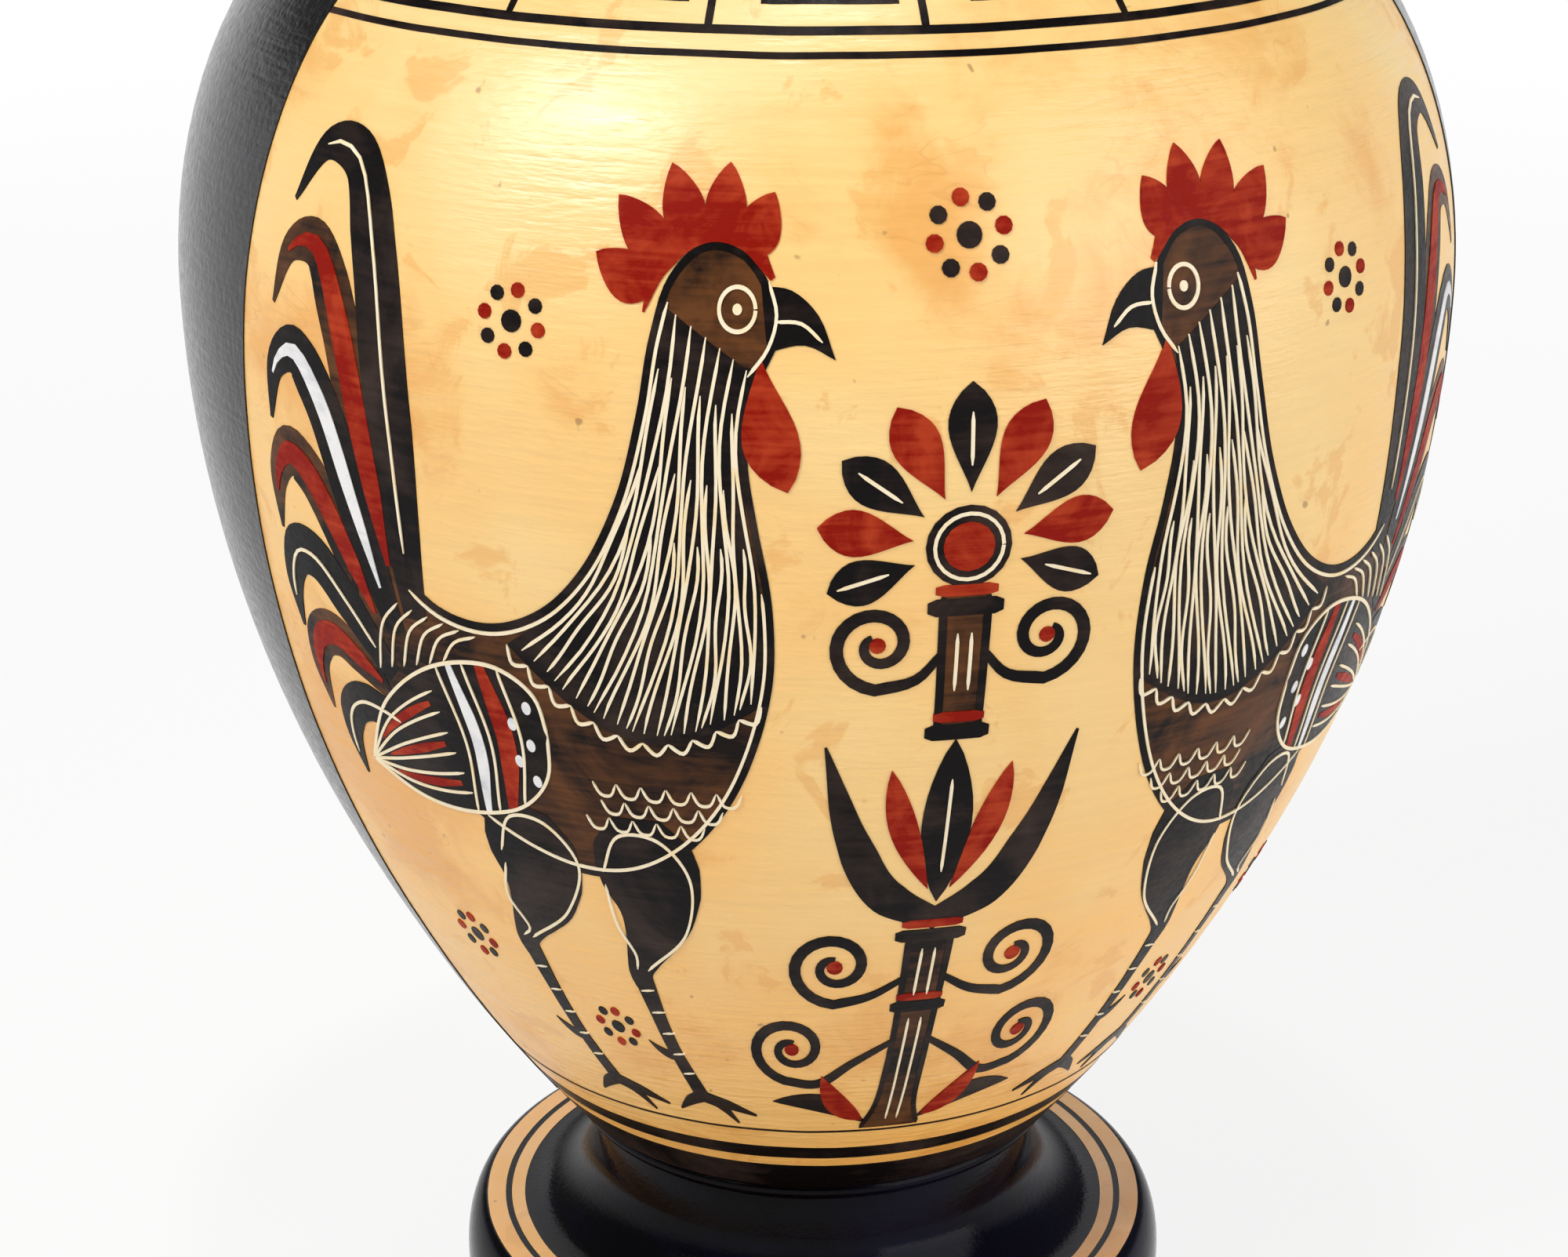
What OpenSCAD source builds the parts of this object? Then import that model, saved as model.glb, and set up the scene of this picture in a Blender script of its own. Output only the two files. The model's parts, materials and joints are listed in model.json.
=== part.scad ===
// Amphora: a wheel-thrown jar of glazed pottery, put together from eight luted
// pieces. Millimetres, +Z up. The origin is the centre of the ring it rests on.

/* [Body] */
// Widest radius of the body
belly_r = 100; // [80:1:125]
// Height of the widest point above the table
belly_z = 190; // [160:1:230]
// Height at which the shoulder runs level
shoulder_z = 252; // [235:1:300]
// Radius at which the shoulder curve has become level
level_r = 60; // [58:1:70]
// Radius of the body where it stands on the foot
seat_r = 43.2; // [36:0.2:52]
// Thickness of the body wall
body_wall = 5; // [3.5:0.5:6.5]
// Depth of the dished base below the seat
base_dish = 4; // [2:0.5:6]

/* [Foot] */
// Height of the whole foot, up to the seat of the body
foot_h = 46; // [38:1:56]
// Widest radius of the foot's rim
rim_r = 61; // [58:0.5:74]
// Height of the level top of the rim
rim_h = 22; // [17:1:26]
// Height at which the rim is widest
rim_equator_z = 13; // [8:1:15]
// Width of the rounded edge, from the level top out to the widest radius
rim_round = 3.65; // [2:0.05:5]
// Width of the level top of the rim
rim_level = 6.5; // [4:0.5:8]
// Height of the hollow curve between the rim and the stem
flare_h = 11; // [7:1:13]
// Width of the ring the foot rests on
rest_w = 11; // [7:0.5:14]
// Depth of the hollow under the foot
under_h = 30; // [10:1:32]

/* [Fillet round the foot joint] */
// How far the body overhangs the stem
stem_inset = 5.2; // [4:0.2:7]
// Thickness of the fillet, outwards from the stem
fillet_w = 3.4; // [2:0.2:3.8]
// Height of the fillet
fillet_h = 5; // [3:0.5:7]

/* [Neck] */
// Radius of the straight throat inside the neck
throat_r = 34; // [28:0.5:36]
// Height at which the mouth sits on the neck
neck_top_z = 303; // [290:1:360]
// Smallest outer radius of the neck
waist_r = 40; // [38.5:0.5:44]
// Height of the waist above the shoulder
waist_up = 28; // [18:1:34]
// How far the neck widens from the waist down to the shoulder
neck_spread = 8; // [5:0.5:10]
// How far the neck widens from the waist up to the mouth
neck_lift = 3; // [1:0.5:5]
// Height of the collar round the root of the neck
collar_h = 4; // [2.5:0.5:6]
// Thickness of the collar, outwards from the neck
collar_w = 3.2; // [2:0.2:5]

/* [Mouth] */
// Height of the mouth ring
mouth_h = 19; // [14:1:26]
// How far the lip stands out beyond the top of the neck
mouth_reach = 14; // [9:0.5:18]
// Width of the level top of the lip
lip_w = 8; // [5:0.5:10]
// Radius of the rounded edges of the lip
lip_round = 2; // [1:0.25:2.5]

/* [Handles] */
// Height of the upper root, down from the mouth
root_drop = 13; // [11:1:20]
// Radius at which the lower root stands on the shoulder
root_r = 73; // [70:1:80]
// How far the bow rises above its upper root
bow_rise = 15; // [6:1:22]
// Width of the handle, along the body
handle_w = 18; // [12:0.5:20]
// Thickness of the handle, across the bow
handle_t = 14; // [9:0.5:15]
// How much wider both roots spread than the bow
root_spread = 1.5; // [1.2:0.05:1.7]
// Length over which each root spreads, as a part of the bow
root_run = 0.26; // [0.15:0.01:0.35]

/* [Luted joints] */
// Clearance left for slip beside each register
slip = 0.3; // [0.2:0.05:0.5]
// Depth of the registers that centre the neck and the mouth
register_h = 3; // [2:0.5:4]
// Thickness of the registers
register_w = 3; // [2.5:0.25:3.5]

/* [Hidden] */

$fn = 96;
CURVE_STEPS = 24;   // straight steps in each long curve
ROUND_STEPS = 8;    // straight steps in each rounded edge
BOW_STEPS = 30;     // sections along a handle
BOW_SIDES = 24;     // points round a handle's section

black_glaze = [0.10, 0.09, 0.09];
soft_black = [0.17, 0.15, 0.15];
clay = [0.94, 0.72, 0.42];
red_slip = [0.52, 0.16, 0.10];

stem_r = seat_r - stem_inset;
level_in_r = rim_r - rim_round - rim_level;
rest_out_r = rim_r - rim_round - 0.5;
rest_in_r = rest_out_r - rest_w;
under_r = rest_in_r / 2;        // where the hollow under the foot becomes level
dish_r = stem_r - 5;            // rim of the dished seat
dish_floor_r = dish_r - 14;     // level floor of the dished seat
neck_base_r = waist_r + neck_spread;
neck_top_r = waist_r + neck_lift;
register_r = throat_r + register_w;
mouth_top_z = neck_top_z + mouth_h;
lip_r = neck_top_r + mouth_reach;
root_z = neck_top_z - root_drop;

// Points at the parts 0 to 1 of a curve, in steps
function parts(steps) = [for (i = [0 : steps]) i / steps];

// Radius of the body's outline below its widest point, at height z
function lower_r(z) = belly_r - (belly_r - seat_r) * pow((belly_z - z) / (belly_z - foot_h), 2);

// Slope of that outline: change of radius with height
function lower_slope(z) = 2 * (belly_r - seat_r) * (belly_z - z) / pow(belly_z - foot_h, 2);

// A point of the lower outline, moved inwards by t square to the surface
function lower_point(z, t) =
    let (s = lower_slope(z), n = sqrt(1 + s * s))
    [lower_r(z) - t / n, z + t * s / n];

// A point of the shoulder, a quarter of an ellipse, shrunk inwards by t
function shoulder_point(a, t) =
    [level_r + (belly_r - level_r - t) * cos(a), belly_z + (shoulder_z - belly_z - t) * sin(a)];

// Outline from the seat on the foot to the level of the shoulder
function body_curve(t) = concat(
    [for (k = parts(CURVE_STEPS)) lower_point(foot_h + (belly_z - foot_h) * k, t)],
    [for (k = parts(CURVE_STEPS)) if (k > 0) shoulder_point(90 * k, t)]);

// Outer radius of the neck at height z
function neck_r(z) =
    let (straight_z = shoulder_z + collar_h, waist_z = shoulder_z + waist_up)
    z <= straight_z ? neck_base_r
    : z < waist_z ? waist_r + neck_spread * pow((waist_z - z) / (waist_z - straight_z), 2.4)
    : waist_r + neck_lift * pow((z - waist_z) / (neck_top_z - waist_z), 2);

// A quarter round edge about the centre c, from angle a to angle a + turn
function round_edge(c, r, a, turn) =
    [for (k = parts(ROUND_STEPS)) [c[0] + r * cos(a + turn * k), c[1] + r * sin(a + turn * k)]];

// The foot's outside, from the resting ring up to the seat of the body
function foot_outside() = concat(
    [for (k = parts(ROUND_STEPS))
        [rest_out_r + (rim_r - rest_out_r) * sin(90 * k), rim_equator_z * (1 - cos(90 * k))]],
    [for (k = parts(ROUND_STEPS)) if (k > 0)
        [rim_r - rim_round * (1 - cos(90 * k)), rim_equator_z + (rim_h - rim_equator_z) * sin(90 * k)]],
    [for (k = parts(CURVE_STEPS))
        [level_in_r - (level_in_r - stem_r) * sin(90 * k), rim_h + flare_h * (1 - cos(90 * k))]],
    [[stem_r, foot_h]]);

module foot() {
    color(black_glaze) rotate_extrude() polygon(concat(
        foot_outside(),
        [[dish_r, foot_h], [dish_floor_r, foot_h - base_dish - slip], [0, foot_h - base_dish - slip]],
        [[0, under_h]],
        [for (k = parts(CURVE_STEPS))
            [under_r + (rest_in_r - under_r) * sin(90 * k), under_h * cos(90 * k)]]));
}

module foot_fillet() {
    inner_r = stem_r + slip;
    outer_r = stem_r + fillet_w;
    bulge = outer_r - inner_r - 0.6;
    color(soft_black) rotate_extrude() polygon(concat(
        [[inner_r, foot_h - fillet_h]],
        [for (k = parts(ROUND_STEPS))
            [inner_r + 0.6 + bulge * sin(180 * k), foot_h - fillet_h * (1 - k)]],
        [[inner_r, foot_h]]));
}

module body() {
    opening_r = register_r + slip;
    color(black_glaze) rotate_extrude() polygon(concat(
        [[0, foot_h - base_dish], [dish_floor_r - slip, foot_h - base_dish], [dish_r - slip, foot_h]],
        body_curve(0),
        [[opening_r, shoulder_z], [opening_r, shoulder_z - body_wall]],
        [for (i = [len(body_curve(0)) - 1 : -1 : 0]) body_curve(body_wall)[i]],
        [[0, lower_point(foot_h, body_wall)[1]]]));
}

module neck_collar() {
    inner_r = neck_base_r + slip;
    bulge = collar_w - slip;
    color(red_slip) rotate_extrude() polygon(concat(
        [[inner_r, shoulder_z]],
        [for (k = parts(ROUND_STEPS))
            [inner_r + bulge * (0.35 + 0.65 * sin(180 * k)), shoulder_z + collar_h * k]],
        [[inner_r, shoulder_z + collar_h]]));
}

module neck() {
    color(clay) rotate_extrude() polygon(concat(
        [[throat_r, shoulder_z - register_h], [register_r, shoulder_z - register_h],
         [register_r, shoulder_z], [neck_base_r, shoulder_z]],
        [for (k = parts(CURVE_STEPS))
            let (z = shoulder_z + collar_h + (neck_top_z - shoulder_z - collar_h) * k) [neck_r(z), z]],
        [[register_r + slip, neck_top_z], [register_r + slip, neck_top_z - register_h - slip],
         [throat_r, neck_top_z - register_h - slip]]));
}

module mouth() {
    lip_in_r = lip_r - lip_w;
    under_z = mouth_top_z - 2 * lip_round;
    color(black_glaze) rotate_extrude() polygon(concat(
        [[throat_r, neck_top_z - register_h], [register_r, neck_top_z - register_h],
         [register_r, neck_top_z]],
        [for (k = parts(CURVE_STEPS))
            [neck_top_r + (mouth_reach) * sin(90 * k), neck_top_z + (under_z - neck_top_z) * pow(k, 1.4)]],
        round_edge([lip_r - lip_round, mouth_top_z - lip_round], lip_round, 0, 90),
        round_edge([lip_in_r + lip_round, mouth_top_z - lip_round], lip_round, 90, 90),
        [for (k = parts(CURVE_STEPS)) if (k > 0)
            [throat_r + (lip_in_r - throat_r) * cos(90 * k),
             mouth_top_z - lip_round - (mouth_h - lip_round - register_h) * sin(90 * k)]]));
}

// Middle line of a handle, a Bezier curve from inside the neck to inside the shoulder
function bow_ends() = [
    [neck_top_r - 5, root_z - 1],
    [neck_top_r + 14, root_z + bow_rise],
    [root_r + 20, root_z + bow_rise - 2],
    [root_r + 1, shoulder_z - 12]];

function bow_point(k) = let (p = bow_ends(), m = 1 - k)
    m * m * m * p[0] + 3 * m * m * k * p[1] + 3 * m * k * k * p[2] + k * k * k * p[3];

function bow_along(k) = let (p = bow_ends(), m = 1 - k,
    d = m * m * (p[1] - p[0]) + 2 * m * k * (p[2] - p[1]) + k * k * (p[3] - p[2])) d / norm(d);

// How much the section is widened near either root
function bow_swell(k) =
    1 + (root_spread - 1) * pow(max(0, 1 - min(k, 1 - k) / root_run), 2);

// One oval section of the handle, square to its middle line
function bow_ring(k) = let (c = bow_point(k), d = bow_along(k), s = bow_swell(k))
    [for (i = [0 : BOW_SIDES - 1]) let (a = 360 * i / BOW_SIDES,
        across = sin(a) * s * handle_t / 2, aside = cos(a) * s * handle_w / 2)
        [c[0] - d[1] * across, aside, c[1] + d[0] * across]];

// Solid lofted through the sections, with flat ends inside the neck and the shoulder
module bow() {
    rings = [for (k = parts(BOW_STEPS)) each bow_ring(k)];
    sides = [for (j = [0 : BOW_STEPS - 1], i = [0 : BOW_SIDES - 1])
        let (n = (i + 1) % BOW_SIDES, a = j * BOW_SIDES, b = a + BOW_SIDES)
        each [[a + i, b + n, a + n], [a + i, b + i, b + n]]];
    first = [for (i = [0 : BOW_SIDES - 1]) i];
    last = [for (i = [BOW_SIDES - 1 : -1 : 0]) BOW_STEPS * BOW_SIDES + i];
    polyhedron(rings, concat([first, last], sides));
}

// What a handle is fitted to: the outsides of the body and of the neck, filled
module fitted_outside() {
    rotate_extrude() polygon(concat(
        [[0, belly_z]],
        [for (k = parts(CURVE_STEPS)) shoulder_point(90 * k, 0)],
        [for (k = parts(CURVE_STEPS))
            let (z = shoulder_z + (neck_top_z - shoulder_z) * k) [neck_r(z), z]],
        [[0, neck_top_z]]));
}

module handle() {
    color(black_glaze) difference() {
        bow();
        fitted_outside();
    }
}

module handle_right() {
    handle();
}

module handle_left() {
    mirror([1, 0, 0]) handle();
}

foot();
foot_fillet();
body();
neck_collar();
neck();
mouth();
handle_left();
handle_right();
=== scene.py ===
import json
import math
from functools import partial

import bpy
import numpy as np
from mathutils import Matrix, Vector, geometry

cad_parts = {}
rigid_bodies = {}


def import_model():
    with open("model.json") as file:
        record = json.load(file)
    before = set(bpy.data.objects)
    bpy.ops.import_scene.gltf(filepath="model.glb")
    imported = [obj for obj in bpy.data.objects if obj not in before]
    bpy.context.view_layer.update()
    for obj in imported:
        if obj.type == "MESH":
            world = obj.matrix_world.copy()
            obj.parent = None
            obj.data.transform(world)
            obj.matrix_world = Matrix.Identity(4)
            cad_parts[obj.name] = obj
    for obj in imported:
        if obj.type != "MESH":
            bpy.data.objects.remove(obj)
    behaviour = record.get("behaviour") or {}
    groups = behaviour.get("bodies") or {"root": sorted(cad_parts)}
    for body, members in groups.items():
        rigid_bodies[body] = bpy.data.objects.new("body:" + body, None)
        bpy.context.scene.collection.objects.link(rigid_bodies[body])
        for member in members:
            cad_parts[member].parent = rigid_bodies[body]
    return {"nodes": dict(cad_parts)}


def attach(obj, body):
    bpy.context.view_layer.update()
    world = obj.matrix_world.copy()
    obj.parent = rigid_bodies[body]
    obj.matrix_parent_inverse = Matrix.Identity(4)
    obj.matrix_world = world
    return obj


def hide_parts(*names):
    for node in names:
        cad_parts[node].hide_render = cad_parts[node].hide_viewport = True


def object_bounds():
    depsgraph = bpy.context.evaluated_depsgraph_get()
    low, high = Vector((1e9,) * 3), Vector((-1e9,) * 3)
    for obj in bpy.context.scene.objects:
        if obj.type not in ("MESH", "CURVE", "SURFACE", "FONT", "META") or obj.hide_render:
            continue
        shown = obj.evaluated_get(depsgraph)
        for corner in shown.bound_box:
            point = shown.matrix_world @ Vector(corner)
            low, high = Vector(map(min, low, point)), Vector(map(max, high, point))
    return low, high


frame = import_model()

bl_info = {
    "name": "Painted Amphora",
    "version": (1, 0, 0),
    "blender": (4, 5, 0),
    "location": "3D View > Sidebar > Amphora",
    "description": "Finishes the turned and glazed pot and paints its bands and panels",
    "category": "Object",
}

MM = 0.001
BELLY = 100.0  # mm, the radius that flat artwork is drawn for: 100 mm along is one radian round the pot
WAY_ROUND = 2 * math.pi * BELLY
SEAM = math.pi / 2  # radians that a ring is turned by, so that its ends meet at the side of the pot
CAD_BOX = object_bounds()


def linear(code):
    """Linear RGBA of an sRGB hex colour"""
    s = [int(code[i:i + 2], 16) / 255 for i in (0, 2, 4)]
    return tuple(c / 12.92 if c <= 0.04045 else ((c + 0.055) / 1.055) ** 2.4 for c in s) + (1.0,)


def colour(name, description, code):
    return bpy.props.FloatVectorProperty(name=name, description=description, subtype="COLOR", size=4,
                                         min=0, max=1, default=linear(code))


def length(name, description, mm):
    return bpy.props.FloatProperty(name=name, description=description, unit="LENGTH", precision=5,
                                   default=mm * MM)


def number(name, description, count):
    return bpy.props.IntProperty(name=name, description=description, default=count)


class AmphoraColours(bpy.types.PropertyGroup):
    clay: colour("Buff clay", "Varnished ground of the panels", "F9C06A")
    # also the painted highlight: the ground turns towards this colour with height, towards the shoulder
    clay_pale_and_highlight: colour("Pale clay", "Where the varnish lies thin", "F7D792")
    clay_base: colour("Golden clay", "Bands at the body's base and on the foot", "FBB24C")
    stain: colour("Ochre stain", "Soft stains and blots in the ground", "E69E42")
    drying: colour("Drying line", "Edge where a stain dried", "C07026")
    speck: colour("Iron speck", "Dark grains in the clay", "8A5A2A")
    black: colour("Black glaze", "Foot, handles, mouth and sides", "070609")
    black_cool: colour("Cool cloud", "Blue cast in the black glaze", "0F0F24")
    black_worn: colour("Worn cloud", "Thin places in the black sides", "1B1A22")
    dense: colour("Dense black slip", "Solid parts of the figures", "0D0909")
    dense_brown: colour("Brown cloud", "Thin places in the dense black", "3C2E28")
    wash: colour("Thinned slip", "Brown where the slip was brushed thin", "633C1F")
    wash_dark: colour("Pooled slip", "Dark where the thinned slip pooled", "150D0A")
    red: colour("Iron red", "Red slip over the black", "8A1203")
    red_thin: colour("Thin red", "Thin places in the red slip", "AE3A1C")
    white: colour("White slip", "White slip over the black", "EEECEA")
    white_thin: colour("Thin white", "Thin places in the white slip", "C4C6CC")
    scratch: colour("Scratched line", "Clay laid bare by the needle", "F8E8C8")
    floor: colour("Floor", "Plain pale floor", "EDEDED")


class AmphoraSizes(bpy.types.PropertyGroup):
    room: length("Room for paint", "How much the body is turned under size", 0.35)
    coat: length("Coat", "Thickness of the first coat of slip", 0.09)
    step: length("Coat step", "How much each later coat stands higher", 0.05)
    panel_low: length("Panel foot", "Height of the thin line under the panels", 63.2)
    panel_top: length("Panel head", "Height of the stripe over the panels", 238.0)
    key_line: length("Key line", "Width of the lines of the key band", 1.3)
    handle_width: length("Handle width", "Width of a handle's section", 18.0)
    handle_depth: length("Handle depth", "Depth of a handle's section", 14.0)
    swell: bpy.props.FloatProperty(name="Root swell", description="How much a handle widens at its roots",
                                   default=1.5)
    key_count: number("Key count", "Cells of the key band", 18)
    tongue_count: number("Tongue count", "Tongues round the neck's root", 44)
    chain_count: number("Chain count", "Flowers round the neck", 6)


# ---- nodes, trees and plain meshes ----

# inputs that are set together, as keys of add's links
RANGE = ("From Min", "From Max", "To Min", "To Max")
NOISE = ("Scale", "Detail", "Roughness", "Distortion")


def add(tree, kind, links=None, **settings):
    """One node with its settings. links gives an input a socket, a node or a value, or gives several inputs
    their values where its key is a tuple of their names"""
    node = tree.nodes.new(kind)
    for name, value in settings.items():
        setattr(node, name, value)
    for key, given in (links or {}).items():
        for name, value in zip(key, given) if isinstance(key, tuple) else [(key, given)]:
            if isinstance(value, bpy.types.Node):
                value = value.outputs[0]
            if isinstance(value, bpy.types.NodeSocket):
                tree.links.new(value, node.inputs[name])
            else:
                node.inputs[name].default_value = value
    return node


def new_tree(name, **inputs):
    """Geometry tree with named inputs, each given as (socket type, default), with the inputs' sockets"""
    tree = bpy.data.node_groups.new(name, "GeometryNodeTree")
    for way in ("INPUT", "OUTPUT"):
        tree.interface.new_socket("Geometry", in_out=way, socket_type="NodeSocketGeometry")
    for label, (kind, default) in inputs.items():
        socket = tree.interface.new_socket(label.replace("_", " "), in_out="INPUT",
                                           socket_type="NodeSocket" + kind)
        if default is not None:
            socket.default_value = default
    return tree, add(tree, "NodeGroupInput").outputs


def end_tree(tree, given, shape):
    """Realized geometry in the given finish as the tree's result"""
    real = add(tree, "GeometryNodeRealizeInstances", {"Geometry": shape})
    done = add(tree, "GeometryNodeSetMaterial", {"Geometry": real, "Material": given["Finish"]})
    add(tree, "NodeGroupOutput", {0: done})
    return tree


def tree_of(maker, name):
    return bpy.data.node_groups.get(name) or maker()


def use_tree(obj, tree, values):
    """Geometry Nodes modifier with its inputs set by identifier"""
    modifier = obj.modifiers.new(tree.name, "NODES")
    modifier.node_group = tree
    for item in tree.interface.items_tree:
        if item.in_out == "INPUT" and item.name in values:
            modifier[item.identifier] = values[item.name]


def plain(name, source, finish, *replaced):
    """Plain mesh piece from an object with live modifiers, which is then removed"""
    bpy.context.view_layer.update()
    graph = bpy.context.evaluated_depsgraph_get()
    mesh = bpy.data.meshes.new_from_object(source.evaluated_get(graph), preserve_all_data_layers=True,
                                           depsgraph=graph)
    mesh.name = name
    if not len(mesh.polygons):
        raise RuntimeError(name + " came out empty")
    bpy.data.objects.remove(source)
    mesh.polygons.foreach_set("use_smooth", [True] * len(mesh.polygons))
    mesh.set_sharp_from_angle(angle=math.radians(32))
    piece = linked(name, mesh)
    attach(piece, "root")
    if replaced:
        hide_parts(*replaced)
    return piece


def linked(name, data):
    obj = bpy.data.objects.new(name, data)
    bpy.context.scene.collection.objects.link(obj)
    return obj


def path_object(name, points):
    """Curve object through (radius, height) points in mm"""
    data = bpy.data.curves.new(name, "CURVE")
    data.dimensions = "3D"
    spline = data.splines.new("POLY")
    spline.points.add(len(points) - 1)
    for point, (r, z) in zip(spline.points, points):
        point.co = (r * MM, 0, z * MM, 1)
    return linked(name, data)


# ---- profiles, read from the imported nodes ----

def profile(node):
    """Closed half section of a turned node in mm, anticlockwise, from its vertices on the seam plane"""
    mesh = frame["nodes"][node].data
    index, ids = {}, []
    for v in mesh.vertices:
        ids.append(index.setdefault(tuple(round(c, 6) for c in v.co), len(index)))
    spots = list(index)
    near = {}
    for e in mesh.edges:
        a, b = (ids[i] for i in e.vertices)
        if a != b and all(abs(spots[i][1]) < 2e-6 and spots[i][0] > 0 for i in (a, b)):
            near.setdefault(a, set()).add(b)
            near.setdefault(b, set()).add(a)
    ends = [k for k in near if len(near[k]) == 1]
    walk = [min(ends or near, key=lambda k: spots[k])]
    while True:
        more = [k for k in near[walk[-1]] if k not in walk]
        if not more:
            break
        walk.append(more[0])
    return wound(np.array([(spots[k][0] / MM, spots[k][2] / MM) for k in walk]))


def wound(outline):
    """The outline, anticlockwise"""
    after = np.roll(outline, -1, axis=0)
    area = np.sum(outline[:, 0] * after[:, 1] - after[:, 0] * outline[:, 1])
    return outline if area > 0 else outline[::-1]


def refine(points, step=1.5, corner=26):
    """Closed half section with a smooth curve between its corners, which turn by more than corner degrees"""
    p = np.array(points)
    a, b = p - np.roll(p, 1, axis=0), np.roll(p, -1, axis=0) - p
    bend = np.abs(np.degrees(np.arctan2(a[:, 0] * b[:, 1] - a[:, 1] * b[:, 0], np.sum(a * b, axis=1))))
    corners = np.flatnonzero(bend > corner)
    lo, hi = p.min(axis=0), p.max(axis=0)
    if not len(corners):
        return np.clip(curve(p, step, closed=True), lo, hi)
    p = np.roll(p, -corners[0], axis=0)
    stops = list(corners - corners[0]) + [len(p)]
    p = np.vstack([p, p[:1]])
    return np.clip(np.vstack([curve(p[i:j + 1], step)[:-1] for i, j in zip(stops, stops[1:])]), lo, hi)


def outside(points, low, high):
    """The part of a closed section from the point nearest low to the point nearest high"""
    i, j = (int(np.argmin(np.linalg.norm(points - np.array(c), axis=1))) for c in (low, high))
    return points[i:j + 1] if i < j else np.vstack([points[i:], points[:j + 1]])


def run_of(path):
    """Length along a path at each of its points"""
    return np.concatenate([[0], np.cumsum(np.linalg.norm(np.diff(path, axis=0), axis=1))])


class Wall:
    """A turned node: its section in mm, its painted outside from low to high, the length along that, and a
    curve object of it. The outside may be turned under size where the pot is wide, to leave room for paint"""
    WIDE = (58, 74)  # mm, the radii between which the room comes in

    def __init__(self, node, low, high, room=0.0):
        self.section = refine(profile(node))
        skin = {tuple(p) for p in outside(self.section, low, high)}
        slim = np.array([tuple(p) in skin for p in self.section])
        ease = np.clip((self.section[:, 0] - self.WIDE[0]) / (self.WIDE[1] - self.WIDE[0]), 0, 1)
        self.section[slim, 0] -= (room * ease * ease * (3 - 2 * ease))[slim]
        self.outer = outside(self.section, low, high)
        self.run = run_of(self.outer)
        self.path = path_object(node + "_wall", self.outer)
        self.path.hide_render = True

    def up_to(self, height):
        """Length up the wall to a height below the shoulder's end"""
        return float(np.interp(height, self.outer[:, 1], self.run))

    def up_to_radius(self, radius):
        """Length along the wall to a radius, where the radius falls towards its top"""
        r = self.outer[:, 0]
        peak = int(np.argmax(r))
        return float(np.interp(-radius, -r[peak:], self.run[peak:]))


WALLS = {}


def walls():
    """The walls that carry paint, made once; the points are the ends of each painted outside"""
    if not WALLS:
        WALLS["body"] = Wall("body", (43.2, 46), (48, 252), bpy.context.scene.amphora_sizes.room / MM)
        WALLS["neck"] = Wall("neck", (48, 256), (43, 303))
        WALLS["foot"] = Wall("foot", (61, 13), (38, 40))
    return WALLS


def clear_walls():
    while WALLS:
        bpy.data.objects.remove(WALLS.popitem()[1].path)


# ---- flat drawing, in mm ----

def between_values(a, b, start, end, x):
    """Value at x on the line from a at start to b at end"""
    return (a * (end - x) + b * (x - start)) / (end - start)


def curve(points, step=1.5, closed=False):
    """Smooth centripetal curve through given points"""
    p = np.array(points, float)
    if closed:
        p = np.vstack([p[-1], p, p[0], p[1]])
    else:
        p = np.vstack([2 * p[0] - p[1], p, 2 * p[-1] - p[-2]])
    out = []
    for i in range(1, len(p) - 2):
        a, b, c, d = p[i - 1:i + 3]
        t = np.cumsum([0] + [max(np.linalg.norm(q), 1e-6) ** 0.5 for q in (b - a, c - b, d - c)])
        count = max(1, int(math.ceil(np.linalg.norm(c - b) / step)))
        for x in t[1] + (t[2] - t[1]) * np.arange(count) / count:
            ab = between_values(a, b, t[0], t[1], x)
            bc = between_values(b, c, t[1], t[2], x)
            cd = between_values(c, d, t[2], t[3], x)
            abc = between_values(ab, bc, t[0], t[2], x)
            bcd = between_values(bc, cd, t[1], t[3], x)
            out.append(between_values(abc, bcd, t[1], t[2], x))
    if not closed:
        out.append(p[-2])
    return np.array(out)


def stroke(points, width, ends=(0.3, 0.3), step=1.2):
    """Outline of a brush stroke. A list of given points is smoothed, and an array is taken as it is.
    Several widths hold at even places along the stroke; one width grows in from both ends, from these parts
    of it"""
    p = curve(points, step) if isinstance(points, list) and len(points) > 2 else np.array(points, float)
    if len(p) == 2:
        n = max(2, int(np.linalg.norm(p[1] - p[0]) / step) + 1)
        p = p[0] + (p[1] - p[0]) * np.linspace(0, 1, n)[:, None]
    d = np.gradient(p, axis=0)
    d /= np.linalg.norm(d, axis=1)[:, None]
    normal = np.column_stack([-d[:, 1], d[:, 0]])
    run = run_of(p)
    if isinstance(width, (tuple, list)):
        w = np.interp(run / run[-1], np.linspace(0, 1, len(width)), width)
    else:
        w = width * np.minimum(1, run / width + ends[0]) * np.minimum(1, (run[-1] - run) / width + ends[1])
    return np.vstack([p + normal * w[:, None] / 2, (p - normal * w[:, None] / 2)[::-1]])


def leaf(a, b, width, bend=0.0, full=0.5):
    """Pointed leaf from a to b, widest at the part full of its length"""
    a, b = np.array(a, float), np.array(b, float)
    n = np.array([a[1] - b[1], b[0] - a[0]])
    t = np.linspace(0, 1, 13)
    mid = a + (b - a) * t[:, None] + n * (bend * 4 * t * (1 - t))[:, None]
    half = width / 2 * np.sin(math.pi * t ** (math.log(0.5) / math.log(full))) ** 0.8
    side = n / np.linalg.norm(n) * half[:, None]
    return np.vstack([mid + side, (mid - side)[::-1][1:-1]])


def disc(c, r, squash=1.0, n=14):
    a = np.linspace(0, 2 * math.pi, n, endpoint=False)
    return np.column_stack([c[0] + r * np.cos(a) * squash, c[1] + r * np.sin(a)])


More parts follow.
